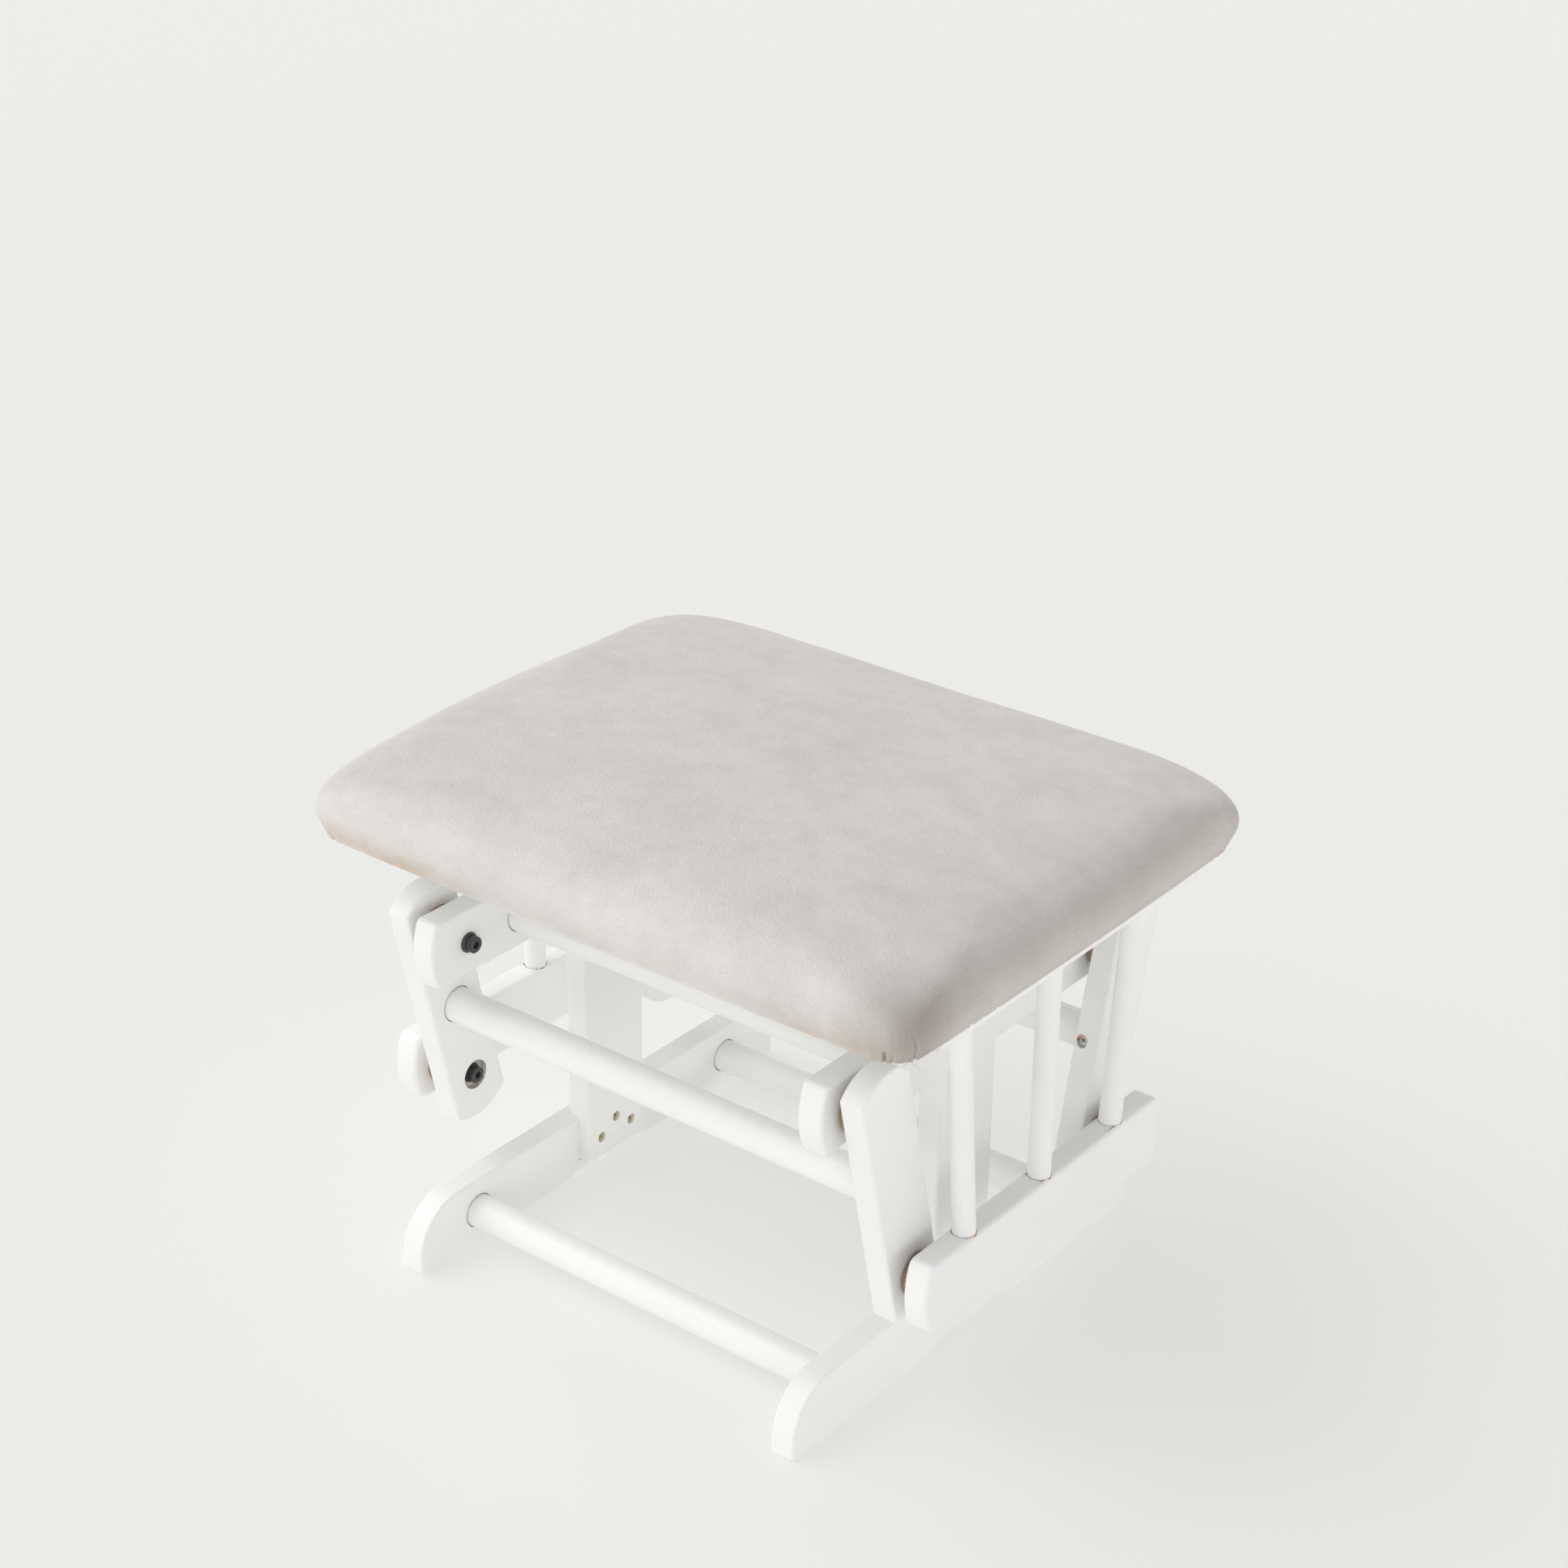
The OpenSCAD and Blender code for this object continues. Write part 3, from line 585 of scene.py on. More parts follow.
# Wood screws: twelve yellow ones through the posts, four lock screws and four under the seat.
# Countersunk steel screws with a cross recess, sunk just below the surface.
def plated(name, colour, second, roughness):
    """Bright metal whose plating wavers between two colours."""
    finish, shader = new_finish(name)
    where = object_place(finish)
    plating = blended(finish, spots(finish, where, 300, 3, 0, 1), colour, second)
    wire(finish, plating, shader.inputs["Base Color"])
    dulled = spots(finish, where, 500, 2, roughness - 0.06, roughness + 0.1)
    wire(finish, dulled, shader.inputs["Roughness"])
    shader.inputs["Metallic"].default_value = 1.0
    relief(finish, shader, spots(finish, where, 900, 2, 0, 1), 0.02 * mm)
    return finish


def cross_screw(length, head=8 * mm, shank=4 * mm):
    """A plain countersunk screw along +Z, its head at the origin; cut_cross cuts its cross."""
    bm = bmesh.new()
    cone = (head - shank) / 2
    profile = [
        (0, 0), (head / 2 - 0.15 * mm, 0), (head / 2, 0.12 * mm), (head / 2, 0.5 * mm),
        (shank / 2, 0.5 * mm + cone), (shank / 2, length * 0.75), (shank / 8, length), (0, length),
    ]
    points = [bm.verts.new((r, 0, z)) for r, z in profile]
    edges = [bm.edges.new(pair) for pair in zip(points, points[1:])]
    bmesh.ops.spin(
        bm, geom=points + edges, cent=(0, 0, 0), axis=(0, 0, 1), angle=math.tau, steps=28,
        use_merge=True)
    bmesh.ops.remove_doubles(bm, verts=bm.verts, dist=0.01 * mm)
    bmesh.ops.recalc_face_normals(bm, faces=bm.faces)
    return bm


def evaluated_copy(source):
    """An object's mesh with its modifiers applied."""
    depsgraph = bpy.context.evaluated_depsgraph_get()
    return bpy.data.meshes.new_from_object(source.evaluated_get(depsgraph))


def cut_cross(bm, width=1.0 * mm, reach=4.6 * mm, depth=1.7 * mm):
    """Cuts a tapered cross into the head of a screw."""
    body = link_object("screw_blank", bpy.data.meshes.new("screw_blank"))
    bm.to_mesh(body.data)
    bm.free()
    tools = []
    for turn in (0, math.pi / 2):
        blade = bmesh.new()
        bmesh.ops.create_cube(blade, size=1)
        for v in blade.verts:
            taper = 0.45 if v.co.z > 0 else 1.0
            v.co = Vector((v.co.x * reach * taper, v.co.y * width, v.co.z * 2 * depth))
        bmesh.ops.rotate(blade, verts=blade.verts, matrix=Matrix.Rotation(turn, 3, "Z"))
        tool = link_object("blade", bpy.data.meshes.new("blade"))
        blade.to_mesh(tool.data)
        blade.free()
        cutter = body.modifiers.new("cut", "BOOLEAN")
        cutter.operation, cutter.solver, cutter.object = "DIFFERENCE", "EXACT", tool
        tools.append(tool)
    cut = evaluated_copy(body)
    for spare in (body, *tools):
        bpy.data.objects.remove(spare)
    return cut


def solids_of(node):
    """The separate solids of a CAD node, each as its lowest and highest corner."""
    bm = loose_copy(node)
    bmesh.ops.remove_doubles(bm, verts=bm.verts, dist=0.01 * mm)
    left, boxes = set(bm.verts), []
    for vert in bm.verts:
        if vert in left:
            solid = spread(vert, left, lambda v: [e.other_vert(v) for e in v.link_edges])
            boxes.append(tuple(
                Vector(f(v.co[i] for v in solid) for i in range(3)) for f in (min, max)))
    bm.free()
    return boxes


def screws(node, pattern, places, body, material):
    """Copies of one screw, each moved by the matrix of its place, in one piece."""
    bm = bmesh.new()
    for place in places:
        start = len(bm.verts)
        bm.from_mesh(pattern)
        bm.verts.ensure_lookup_table()
        bmesh.ops.transform(bm, matrix=place, verts=bm.verts[start:])
    return finish_piece(bm, node + "_cross", body, [material], [node], smooth_below=25)


def facing(origin, direction, twist):
    """The matrix that stands a +Z pattern at a place, along a direction and turned about it."""
    turn = Vector(direction).to_track_quat("Z", "Y").to_matrix().to_4x4()
    return Matrix.Translation(origin) @ turn @ Matrix.Rotation(twist, 4, "Z")


def outward_places(boxes, twist, step):
    """Matrices at the inner ends of boxes on both sides of the stool, facing outward."""
    places = []
    for number, (low, high) in enumerate(boxes):
        centre, outward = (low + high) / 2, 1 if low.x > 0 else -1
        inner = low.x if outward > 0 else high.x
        places.append(
            facing((inner, centre.y, centre.z), (outward, 0, 0), twist + step * number))
    return places


yellow_zinc = plated("yellow zinc", (0.72, 0.58, 0.30, 1), (0.50, 0.52, 0.34, 1), 0.34)
bright_zinc = plated("bright zinc", (0.62, 0.62, 0.62, 1), (0.46, 0.47, 0.49, 1), 0.3)
for node in ("post_screws", "arm_screws"):
    boxes = solids_of(node)
    length = boxes[0][1].x - boxes[0][0].x
    places = outward_places(sorted(boxes, key=lambda b: tuple(b[0])), 0.5, 1.1)
    pattern = cut_cross(cross_screw(length))
    screws(node, pattern, places, carried_by[node], yellow_zinc)
boxes = solids_of("pad_screws")
length = boxes[0][1].z - boxes[0][0].z
places = [facing(((low.x + high.x) / 2, (low.y + high.y) / 2, low.z), (0, 0, 1), 0.7 * i)
          for i, (low, high) in enumerate(boxes)]
screws("pad_screws", cut_cross(cross_screw(length)), places, "seat", bright_zinc)
length = 18.1 * mm
for node, outward in (("front_lock_screws", -1), ("rear_lock_screws", 1)):
    aim = Vector((0, outward * math.cos(lean), -math.sin(lean)))
    places = []
    for number, (low, high) in enumerate(solids_of(node)):
        head = (low + high) / 2 - aim * length / 2
        places.append(facing(head, aim, 0.4 + number))
    pattern = cut_cross(cross_screw(length))
    screws(node, pattern, places, carried_by[node], bright_zinc)


# Pivots: eight socket head bolts with cup washers, in black bushes, with brown spacers between the
# boards and brass inserts in them. The steel heads are black oxide, rounded at the rim and finely
# knurled; the rings are moulded plastic.
def moulded(name, dark, light, roughness):
    """A dull finish that wavers between two colours, for black steel and for plastic."""
    finish, shader = new_finish(name)
    where = object_place(finish)
    shade = blended(finish, spots(finish, where, 350, 3, 0, 1), dark, light)
    wire(finish, shade, shader.inputs["Base Color"])
    dulled = spots(finish, where, 600, 2, roughness, roughness + 0.18)
    wire(finish, dulled, shader.inputs["Roughness"])
    relief(finish, shader, spots(finish, where, 1400, 2, 0, 1), 0.03 * mm)
    return finish


black_steel = moulded(
    "black oxide steel", (0.030, 0.029, 0.029, 1), (0.055, 0.053, 0.052, 1), 0.36)
black_plastic = moulded(
    "black moulded plastic", (0.035, 0.033, 0.032, 1), (0.05, 0.047, 0.045, 1), 0.5)
brown_plastic = moulded(
    "brown moulded plastic", (0.30, 0.19, 0.12, 1), (0.38, 0.25, 0.16, 1), 0.5)
brass = plated("brass", (0.74, 0.60, 0.32, 1), (0.62, 0.48, 0.24, 1), 0.35)


def socket_bolt(length, head=12.2 * mm, tall=4.6 * mm, shank=8 * mm, flats=5 * mm, deep=2.6 * mm):
    """A socket head bolt along +Z, its head face at the origin."""
    bm = bmesh.new()
    rounds, rim, chamfer, knurl = 48, 0.9 * mm, 0.4 * mm, 0.15 * mm
    across_corners = flats / math.cos(math.pi / 6)
    hexagon = bmesh.ops.create_circle(bm, segments=6, radius=across_corners / 2)["verts"]
    face = bmesh.ops.create_circle(bm, segments=rounds, radius=head / 2 - rim)["verts"]
    loops = [list({e for v in ring for e in v.link_edges}) for ring in (hexagon, face)]
    bmesh.ops.bridge_loops(bm, edges=loops[0] + loops[1])
    edge, steps = loops[1], 5
    levels = [
        (head / 2 - rim * (1 - math.sin(t)), rim * (1 - math.cos(t)))
        for t in (math.pi / 2 * (i + 1) / steps for i in range(steps))
    ]
    levels += [
        (head / 2, tall - chamfer), (head / 2 - chamfer, tall), (shank / 2, tall),
        (shank / 2, length),
    ]
    radius, height = head / 2 - rim, 0
    for number, (wide, high) in enumerate(levels):
        grown = bmesh.ops.extrude_edge_only(bm, edges=edge)["geom"]
        ring = [g for g in grown if isinstance(g, bmesh.types.BMVert)]
        edge = [g for g in grown if isinstance(g, bmesh.types.BMEdge)]
        bmesh.ops.scale(bm, verts=ring, vec=(wide / radius, wide / radius, 1))
        bmesh.ops.translate(bm, verts=ring, vec=(0, 0, high - height))
        if number in (steps - 1, steps):
            for v in ring:
                if round(math.atan2(v.co.y, v.co.x) * rounds / math.tau) % 2:
                    v.co.xy *= 1 - knurl / wide
        radius, height = wide, high
    bmesh.ops.holes_fill(bm, edges=edge)
    sunk = bmesh.ops.extrude_edge_only(bm, edges=loops[0])["geom"]
    wall = [g for g in sunk if isinstance(g, bmesh.types.BMVert)]
    bmesh.ops.translate(bm, verts=wall, vec=(0, 0, deep))
    bmesh.ops.holes_fill(bm, edges=[g for g in sunk if isinstance(g, bmesh.types.BMEdge)])
    return bm


def cup_washer(thick, outer, bore, crown=12.6 * mm, rim=0.9 * mm):
    """A conical washer along +Z, its narrow side at the origin."""
    bm = bmesh.new()
    profile = [
        (bore / 2, thick), (outer / 2 - 0.2 * mm, thick), (outer / 2, thick - 0.2 * mm),
        (outer / 2, thick - rim), (crown / 2 + 0.4 * mm, 0.15 * mm), (crown / 2, 0), (bore / 2, 0),
    ]
    points = [bm.verts.new((r, 0, z)) for r, z in profile]
    edges = [bm.edges.new((a, b)) for a, b in zip(points, points[1:] + points[:1])]
    bmesh.ops.spin(
        bm, geom=points + edges, cent=(0, 0, 0), axis=(0, 0, 1), angle=math.tau, steps=48,
        use_merge=True)
    bmesh.ops.remove_doubles(bm, verts=bm.verts, dist=0.01 * mm)
    bmesh.ops.recalc_face_normals(bm, faces=bm.faces)
    return bm


def pattern_of(name, bm):
    """A mesh to copy, made from a bmesh."""
    pattern = bpy.data.meshes.new(name)
    bm.to_mesh(pattern)
    bm.free()
    return pattern


for node in ("front_upper_washers", "rear_upper_washers", "lower_washers"):
    boxes = sorted(solids_of(node), key=lambda b: tuple(b[0]))
    low, high = boxes[0]
    pattern = pattern_of("washer", cup_washer(high.x - low.x, high.z - low.z, 8.4 * mm))
    places = outward_places(boxes, 0, 0)
    screws(node, pattern, places, carried_by[node], black_steel)
for node in ("front_upper_bolts", "rear_upper_bolts", "front_lower_bolts", "rear_lower_bolts"):
    boxes = sorted(solids_of(node), key=lambda b: b[0].x)
    pattern = pattern_of("bolt", socket_bolt(boxes[0][1].x - boxes[0][0].x))
    places = outward_places(boxes, 0.35, 0.5)
    screws(node, pattern, places, carried_by[node], black_steel)
for node in frame["nodes"]:
    if node.endswith("spacers"):
        paint_node(node, brown_plastic)
    elif node.endswith("bushes"):
        paint_node(node, black_plastic)
    elif node.endswith("inserts"):
        paint_node(node, brass)


# Seat board and lining.
# A 12 mm plywood board carries the cushion, with a thin white non-woven cloth under it.
plywood, shader = new_finish("plywood")
where = object_place(plywood)
ply = put(plywood, "TexWave", {"wave_type": "BANDS", "bands_direction": "Z"},
          {"Scale": 130, "Distortion": 1.2, "Detail": 2})
wire(plywood, where, ply.inputs["Vector"])
veneers = blended(plywood, ply.outputs["Fac"], (0.66, 0.48, 0.30, 1), (0.45, 0.30, 0.18, 1))
wire(plywood, veneers, shader.inputs["Base Color"])
wire(plywood, spots(plywood, where, 90, 3, 0.6, 0.8), shader.inputs["Roughness"])
relief(plywood, shader, spots(plywood, where, 200, 4, 0, 1, stretch=(1, 9, 9)), 0.2 * mm)
paint_node("seat_board", plywood)

lining_finish, shader = new_finish("white non-woven lining")
where = object_place(lining_finish)
fibres = spots(lining_finish, where, 700, 4, 0, 1)
felt = blended(lining_finish, fibres, (0.86, 0.86, 0.84, 1), (0.74, 0.74, 0.72, 1))
wire(lining_finish, felt, shader.inputs["Base Color"])
wire(lining_finish, spots(lining_finish, where, 300, 3, 0.8, 0.95), shader.inputs["Roughness"])
shader.inputs["Sheen Weight"].default_value = 0.2
relief(lining_finish, shader, spots(lining_finish, where, 1100, 4, 0, 1), 0.15 * mm)
paint_node("seat_lining", lining_finish)


# Cushion.
# A foam block on the seat board under one tight suede-like cover, pulled down over the corners in
# small gathers and rolled in under its edge. The cover is blown up over the foam as cloth.
suede, shader = new_finish("grey suede")
where = object_place(suede)
dark_nap, light_nap = (0.610, 0.575, 0.550, 1), (0.800, 0.765, 0.740, 1)
# The second colour here is the dark brown of a painted shade on the cushion's right side and front
# right corner.
stain_brown, painted_shade_brown = (0.60, 0.46, 0.34, 1), (0.185, 0.145, 0.105, 1)
nap = sums(
    suede, "ADD",
    spots(suede, where, 5, 3, 0.0, 0.26, stretch=(1, 1.7, 1)),
    spots(suede, where, 17, 4, 0.0, 0.36, stretch=(1, 1.5, 1)),
    spots(suede, where, 70, 4, 0.0, 0.22),
    spots(suede, where, 700, 3, 0.0, 0.26))
cloth_colour = blended(suede, nap, dark_nap, light_nap)
split = put(suede, "SeparateXYZ")
wire(suede, where, split.inputs[0])


def ramp(value, start, end, low, high):
    """A smooth passage from low to high while a value goes from start to end."""
    node = put(suede, "MapRange", {"interpolation_type": "SMOOTHSTEP"},
               {"From Min": start, "From Max": end, "To Min": low, "To Max": high})
    wire(suede, value, node.inputs["Value"])
    return node.outputs["Result"]


# Soiled patches low on the front, towards its two ends.
low_down = ramp(split.outputs["Z"], 0.326, 0.346, 1, 0)
front_side = ramp(split.outputs["Y"], -0.185, -0.195, 0, 1)
left_end = ramp(split.outputs["X"], -0.08, -0.15, 0, 1)
right_end = ramp(split.outputs["X"], 0.14, 0.19, 0, 0.45)
stain = sums(
    suede, "MULTIPLY", low_down, front_side, sums(suede, "ADD", left_end, right_end),
    spots(suede, where, 38, 3, 0.05, 0.75))
stained = blended(suede, stain, cloth_colour, stain_brown)

# Painted shade: darker on faces turned to the right, more so on the upper shoulder, and round the
# front right corner.
surface_facing = put(suede, "SeparateXYZ")
wire(suede, put(suede, "TexCoord").outputs["Normal"], surface_facing.inputs[0])
shade_on_right = ramp(surface_facing.outputs["X"], 0.2, 0.9, 0, 0.26)
shoulder_shade = ramp(split.outputs["Z"], 0.340, 0.368, 0, 0.2)
# A patch of painted shade round the front right corner.
corner = put(suede, "VectorMath", {"operation": "DISTANCE"})
wire(suede, where, corner.inputs[0])
corner.inputs[1].default_value = (0.244, -0.187, 0.343)
painted_shade = sums(suede, "ADD", shade_on_right, sums(suede, "MULTIPLY", shade_on_right, shoulder_shade),
               ramp(corner.outputs["Value"], 0.008, 0.058, 0.32, 0))
wire(suede, blended(suede, painted_shade, stained, painted_shade_brown), shader.inputs["Base Color"])
wire(suede, spots(suede, where, 60, 3, 0.86, 0.98), shader.inputs["Roughness"])
shader.inputs["Specular IOR Level"].default_value = 0.15
shader.inputs["Sheen Weight"].default_value = 0.15
shader.inputs["Sheen Roughness"].default_value = 0.45
shader.inputs["Sheen Tint"].default_value = (1.0, 0.97, 0.95, 1)
pebbles = put(
    suede, "TexVoronoi", {"feature": "SMOOTH_F1"},
    {"Scale": 820, "Smoothness": 0.4, "Randomness": 1})
wire(suede, where, pebbles.inputs["Vector"])
grain = relief(suede, shader, pebbles.outputs["Distance"], 0.34 * mm)
relief(suede, shader, spots(suede, where, 420, 3, 0, 1), 0.14 * mm, under=grain)

board_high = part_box("seat_board")[1]
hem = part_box("cushion")[0].z
swell_limit = 5 * mm


def rise(value, low, high):
    """A smooth step from 0 to 1."""
    t = min(max((value - low) / (high - low), 0), 1)
    return t * t * (3 - 2 * t)


def free_share(z):
    """0 at the hem, which is stapled down, and 1 from a little above it."""
    return rise(z, hem + 2 * mm, hem + 16 * mm)


def slack(z):
    """How far the cover starts inside its final form."""
    return free_share(z) * (0.2 + 3.3 * rise(z, hem + 34 * mm, hem + 58 * mm)) * mm


bm = loose_copy("cushion")
bmesh.ops.remove_doubles(bm, verts=bm.verts, dist=0.01 * mm)
pocket_end = board_high + Vector((mm, mm, mm))
pocket = [
    f for f in bm.faces
    if all(abs(v.co.x) < pocket_end.x and abs(v.co.y) < pocket_end.y and v.co.z < pocket_end.z
           for v in f.verts)
]
bmesh.ops.delete(bm, geom=pocket, context="FACES")
bmesh.ops.holes_fill(bm, edges=[e for e in bm.edges if e.is_boundary])
bmesh.ops.triangulate(bm, faces=bm.faces)
bmesh.ops.recalc_face_normals(bm, faces=bm.faces)
foam_mesh = bpy.data.meshes.new("foam")
bm.to_mesh(foam_mesh)
bm.free()
foam = link_object("foam", foam_mesh)
even_grid = foam.modifiers.new("even grid", "REMESH")
even_grid.mode, even_grid.voxel_size = "VOXEL", 6 * mm
grid = evaluated_copy(foam)
foam.modifiers.clear()
foam.data = grid

bm = bmesh.new()
bm.from_mesh(grid)
for _ in range(3):
    bmesh.ops.smooth_vert(
        bm, verts=[v for v in bm.verts if v.co.z > hem + 6 * mm], factor=0.5,
        use_axis_x=True, use_axis_y=True, use_axis_z=True)
bm.normal_update()
for v in bm.verts:
    v.co -= v.normal * slack(v.co.z)
bm.to_mesh(grid)
bm.free()
start = [v.co.copy() for v in grid.vertices]

held = foam.vertex_groups.new(name="held by staples and foam")
for v in grid.vertices:
    held.add([v.index], max(0.1, 1 - free_share(v.co.z)), "REPLACE")
cloth = foam.modifiers.new("cover", "CLOTH")
cover = cloth.settings
cover.quality = 5
cover.mass = 0.3
cover.tension_stiffness = 15
cover.compression_stiffness = 15
cover.shear_stiffness = 8
cover.bending_stiffness = 2
cover.use_pressure = True
cover.uniform_pressure_force = 4
cover.effector_weights.gravity = 0
cover.vertex_group_mass = held.name
cloth.collision_settings.use_collision = False
for number in range(1, 21):
    bpy.context.scene.frame_set(number)
puffed = [v.co.copy() for v in evaluated_copy(foam).vertices]
foam.modifiers.clear()
bpy.context.scene.frame_set(1)

# The corners are not quite alike: the two rear ones are fuller, and the middle of the rear side is
# flatter. Each lump has its middle, its reach and its height.
uneven = (
    (Vector((-0.235, 0.175, 0.362)), 52 * mm, 2.6 * mm),
    (Vector((0.215, 0.175, 0.372)), 46 * mm, 2.4 * mm),
    (Vector((0.0, 0.2, 0.365)), 85 * mm, -1.8 * mm),
)
bm = bmesh.new()
bm.from_mesh(grid)
bm.verts.ensure_lookup_table()
bm.normal_update()
outward = [v.normal.copy() for v in bm.verts]
moves = []
for rest, normal, index in zip(start, outward, range(len(start))):
    move = puffed[index] - rest
    if move.length > swell_limit:
        move *= swell_limit / move.length
    moves.append(move)
beside = [[e.other_vert(v).index for e in v.link_edges] for v in bm.verts]
for _ in range(8):
    moves = [
        (move + sum((moves[i] for i in near), Vector())) / (1 + len(near))
        for move, near in zip(moves, beside)
    ]
for v, rest, normal, move in zip(bm.verts, start, outward, moves):
    lump = sum(
        high * math.exp(-((rest - spot).length / wide) ** 2) for spot, wide, high in uneven)
    lump += 0.6 * mm * noise.noise(rest * 11) + 0.12 * mm * noise.noise(rest * 34)
    v.co = rest + move + normal * lump * free_share(rest.z)
bpy.data.objects.remove(foam)

# The cover is cut level just above the hem and made finer, most of all where it is gathered.
turn = hem + 3.5 * mm
bmesh.ops.bisect_plane(
    bm, geom=bm.verts[:] + bm.edges[:] + bm.faces[:], plane_co=(0, 0, turn), plane_no=(0, 0, 1),
    clear_inner=True)
near_cut = [v for v in bm.verts if v.co.z < turn + 2.5 * mm]
bmesh.ops.remove_doubles(bm, verts=near_cut, dist=2.2 * mm)
for v in bm.verts:
    if v.is_boundary:
        v.co.z = turn
bmesh.ops.subdivide_edges(bm, edges=bm.edges, cuts=1, use_grid_fill=True, smooth=1.0)

# Each gather in mm: where it starts on the hem, its lean along the edge, and its length, depth and
# half width.
gathers = [
    # Front right corner.
    (234, -191, 0.1, 9, 2.0, 0.8), (226, -193, 0.0, 17, -0.8, 2.6), (238, -188, 0.1, 7, 0.6, 1.0),
    (248, -179, -0.3, 24, 2.5, 1.0), (243, -184, -0.1, 7, 0.6, 1.0), (191, -194, 0.0, 24, 1.0, 2.8),
    (217, -193, 0.1, 14, 0.8, 2.4),
    # Right side, and its rear end.
    (247, -129, 1.0, 9, 0.5, 1.3), (249, -124, 0.3, 13, 2.4, 1.4), (246, -111, 1.3, 9, 0.7, 1.2),
    (246, -96, 1.3, 10, 0.8, 1.4), (249, 136, 0.9, 12, 0.6, 1.3), (249, 147, 1.0, 15, 0.9, 1.2),
    (249, 157, 1.0, 19, 1.2, 1.2), (249, 164, 1.0, 14, 0.9, 1.1), (248, 172, 0.6, 9, 2.1, 1.0),
    # Front left corner.
    (-229, -197, -1.2, 8, 1.4, 1.2), (-237, -195, -1.2, 12, 0.9, 1.3),
    (-221, -198, -1.0, 6, 0.5, 1.3),
    # Rear corners.
    (236, 189, -0.2, 14, 1.0, 1.3), (228, 192, -0.5, 10, 0.9, 1.3), (-246, 178, 0.3, 16, 1.2, 1.3),
    (-238, 187, 0.6, 12, 1.0, 1.3), (-229, 192, 0.9, 9, 0.8, 1.3), (-248, 165, -0.8, 12, 0.8, 1.3),
    # Left side and the rear.
    (-247, -176, 0.3, 16, 1.1, 1.3), (-249, -163, 0.9, 11, 0.8, 1.3),
    (-249, -151, 1.1, 8, 0.5, 1.3), (-60, 195, 0.3, 6, 0.5, 1.3), (95, 195, -0.3, 6, 0.5, 1.3),
]
feet = [Vector((x * mm, y * mm, turn)) for x, y, *_ in gathers]
for reach in (30 * mm, 23 * mm):
    near = {
        v for v in bm.verts
        if v.co.z < turn + 24 * mm and any((v.co.xy - foot.xy).length < reach for foot in feet)
    }
    finer = [e for e in bm.edges if all(v in near for v in e.verts)]
    bmesh.ops.subdivide_edges(bm, edges=finer, cuts=1, use_grid_fill=True)
bm.normal_update()
rim = [v for v in bm.verts if v.is_boundary]
moves = {}
for (x, y, tilt, length, depth, half), foot in zip(gathers, feet):
    nearest = min(rim, key=lambda v: (v.co.xy - foot.xy).length)
    foot, out = nearest.co.copy(), Vector((*nearest.normal.xy, 0)).normalized()
    along = Vector((-out.y, out.x, 0)) * (1 if max(out.x, -out.y) > max(-out.x, out.y) else -1)
    for v in bm.verts:
        up = v.co.z - turn
        if up > length * mm or (v.co.xy - foot.xy).length > 34 * mm:
            continue
        aside = abs((v.co - foot).dot(along) - tilt * up) / (half * mm)
        if aside < 5:
            share = 1 - rise(up, 0.25 * length * mm, length * mm)
            form = 0.2 * math.exp(-(aside - 2.2) ** 2) - math.exp(-aside ** 2)
            moves[v] = moves.get(v, Vector()) + out * depth * mm * share * form
for v, move in moves.items():
    v.co += move

# Its edge rolls in under the foam, closes round the seat board and lies over it.
edge = [e for e in bm.edges if e.is_boundary]
wide_x, wide_y = max(v.co.x for v in rim), max(v.co.y for v in rim)
pocket_x, pocket_y = board_high.x + 0.6 * mm, board_high.y + 0.6 * mm
deep_x, deep_y = wide_x - pocket_x, wide_y - pocket_y
roll_profile = (
    (0.0, 1.7), (0.04, 0.7), (0.15, 0.15), (0.35, 0.0), (0.75, 0.1), (1.0, 0.3), (1.0, None))
for share, height in roll_profile:
    grown = bmesh.ops.extrude_edge_only(bm, edges=edge)["geom"]
    edge = [g for g in grown if isinstance(g, bmesh.types.BMEdge)]
    ring = [g for g in grown if isinstance(g, bmesh.types.BMVert)]
    now_x, now_y = max(v.co.x for v in ring), max(v.co.y for v in ring)
    narrower = ((wide_x - deep_x * share) / now_x, (wide_y - deep_y * share) / now_y, 1)
    bmesh.ops.scale(bm, verts=ring, vec=narrower)
    for v in ring:
        v.co.z = board_high.z + 0.3 * mm if height is None else hem + height * mm
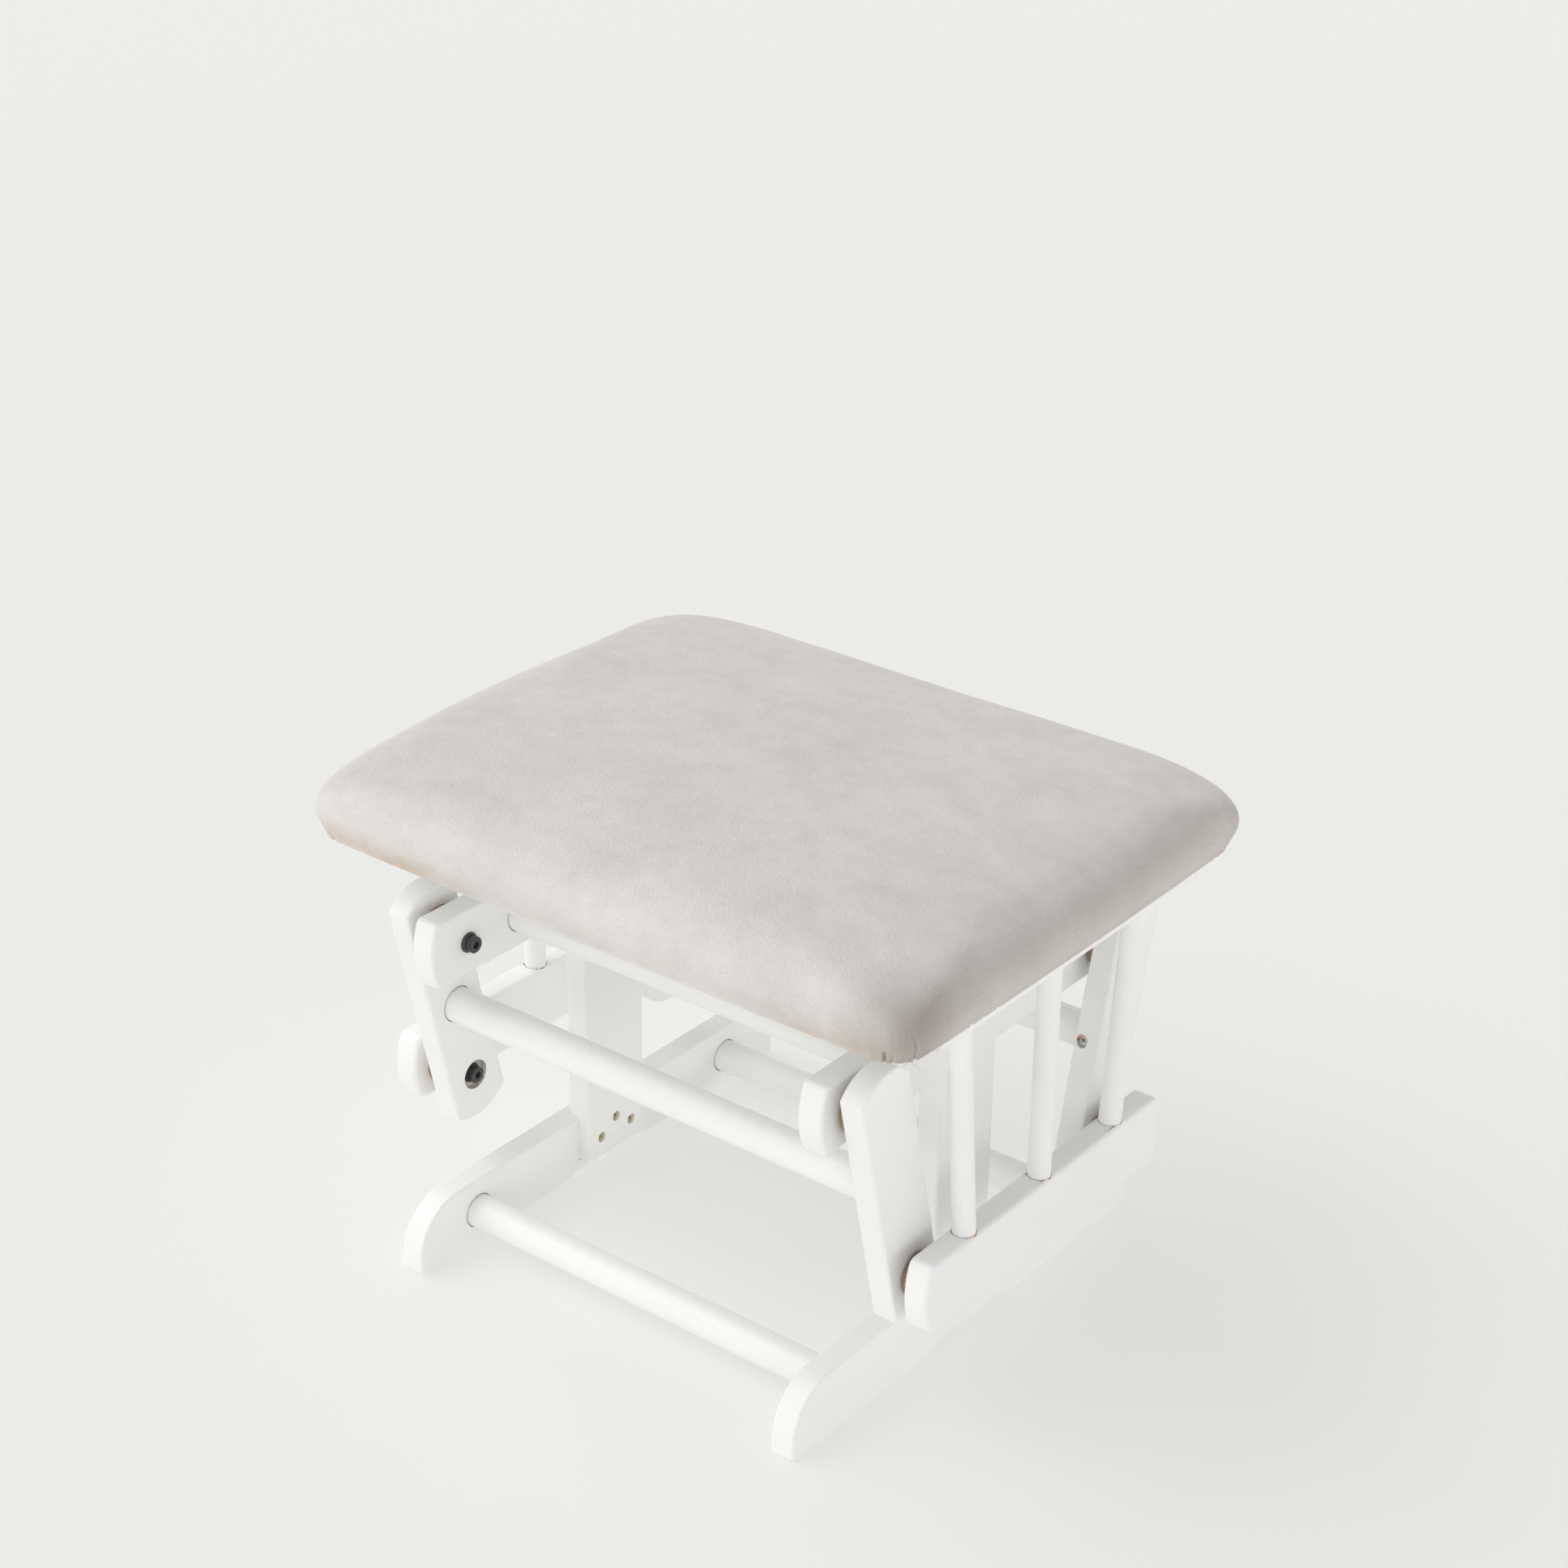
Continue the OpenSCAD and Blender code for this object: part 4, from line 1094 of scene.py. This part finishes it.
bmesh.ops.holes_fill(bm, edges=edge)

cushion = finish_piece(bm, "cushion_cover", "seat", [suede], ["cushion"], smooth_below=60)


# Torn edge of the lining.
# A ragged flap of the thin white lining and one loose thread of it hang out under the front right
# corner of the cushion.
bm = bmesh.new()
columns, rows = 18, 7
bmesh.ops.create_grid(bm, x_segments=columns, y_segments=rows, size=0.5)
tear_from, tear_to = Vector((0.2275, -0.1885, 0.3225)), Vector((0.2420, -0.1800, 0.3225))
for v in bm.verts:
    across_it, down_it = v.co.x + 0.5, 0.5 - v.co.y
    ragged = 1.5 + 6.5 * across_it ** 1.2 + 0.9 * noise.noise(Vector((across_it * 9, 3, 0)))
    hang = down_it * ragged * mm
    spot = tear_from.lerp(tear_to, across_it)
    billow = 0.7 * mm * math.sin(4 * across_it + 1) * down_it
    v.co = spot + Vector((0.5 * billow + 0.15 * hang, -0.85 * billow - 0.1 * hang, -hang))
flat_area = sum(f.calc_area() for f in bm.faces)
flap = finish_piece(bm, "lining_flap", "seat", [lining_finish], smooth_below=80)
thickness = flap.modifiers.new("cloth thickness", "SOLIDIFY")
thickness.thickness, thickness.offset = 0.3 * mm, 0

bm = bmesh.new()
ring = bmesh.ops.create_circle(bm, segments=8, radius=0.25 * mm, cap_ends=True)["verts"]
bmesh.ops.rotate(bm, verts=ring, matrix=Matrix.Rotation(math.pi / 2, 3, "Y"))
bmesh.ops.translate(bm, verts=ring, vec=(0.2435, -0.1795, 0.3215))
tip = bm.faces[:]
for step in range(7):
    grown = bmesh.ops.extrude_face_region(bm, geom=tip)["geom"]
    tip = [g for g in grown if isinstance(g, bmesh.types.BMFace)]
    ends = list({v for f in tip for v in f.verts})
    along = (1.3 * mm, 0.5 * mm * math.sin(step), (-0.9 + 0.15 * step) * mm)
    bmesh.ops.translate(bm, verts=ends, vec=along)
finish_piece(bm, "loose_thread", "seat", [lining_finish], smooth_below=80)


# Sizes.
# The box of the finished model that dresses the CAD frame, in metres.
low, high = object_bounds()
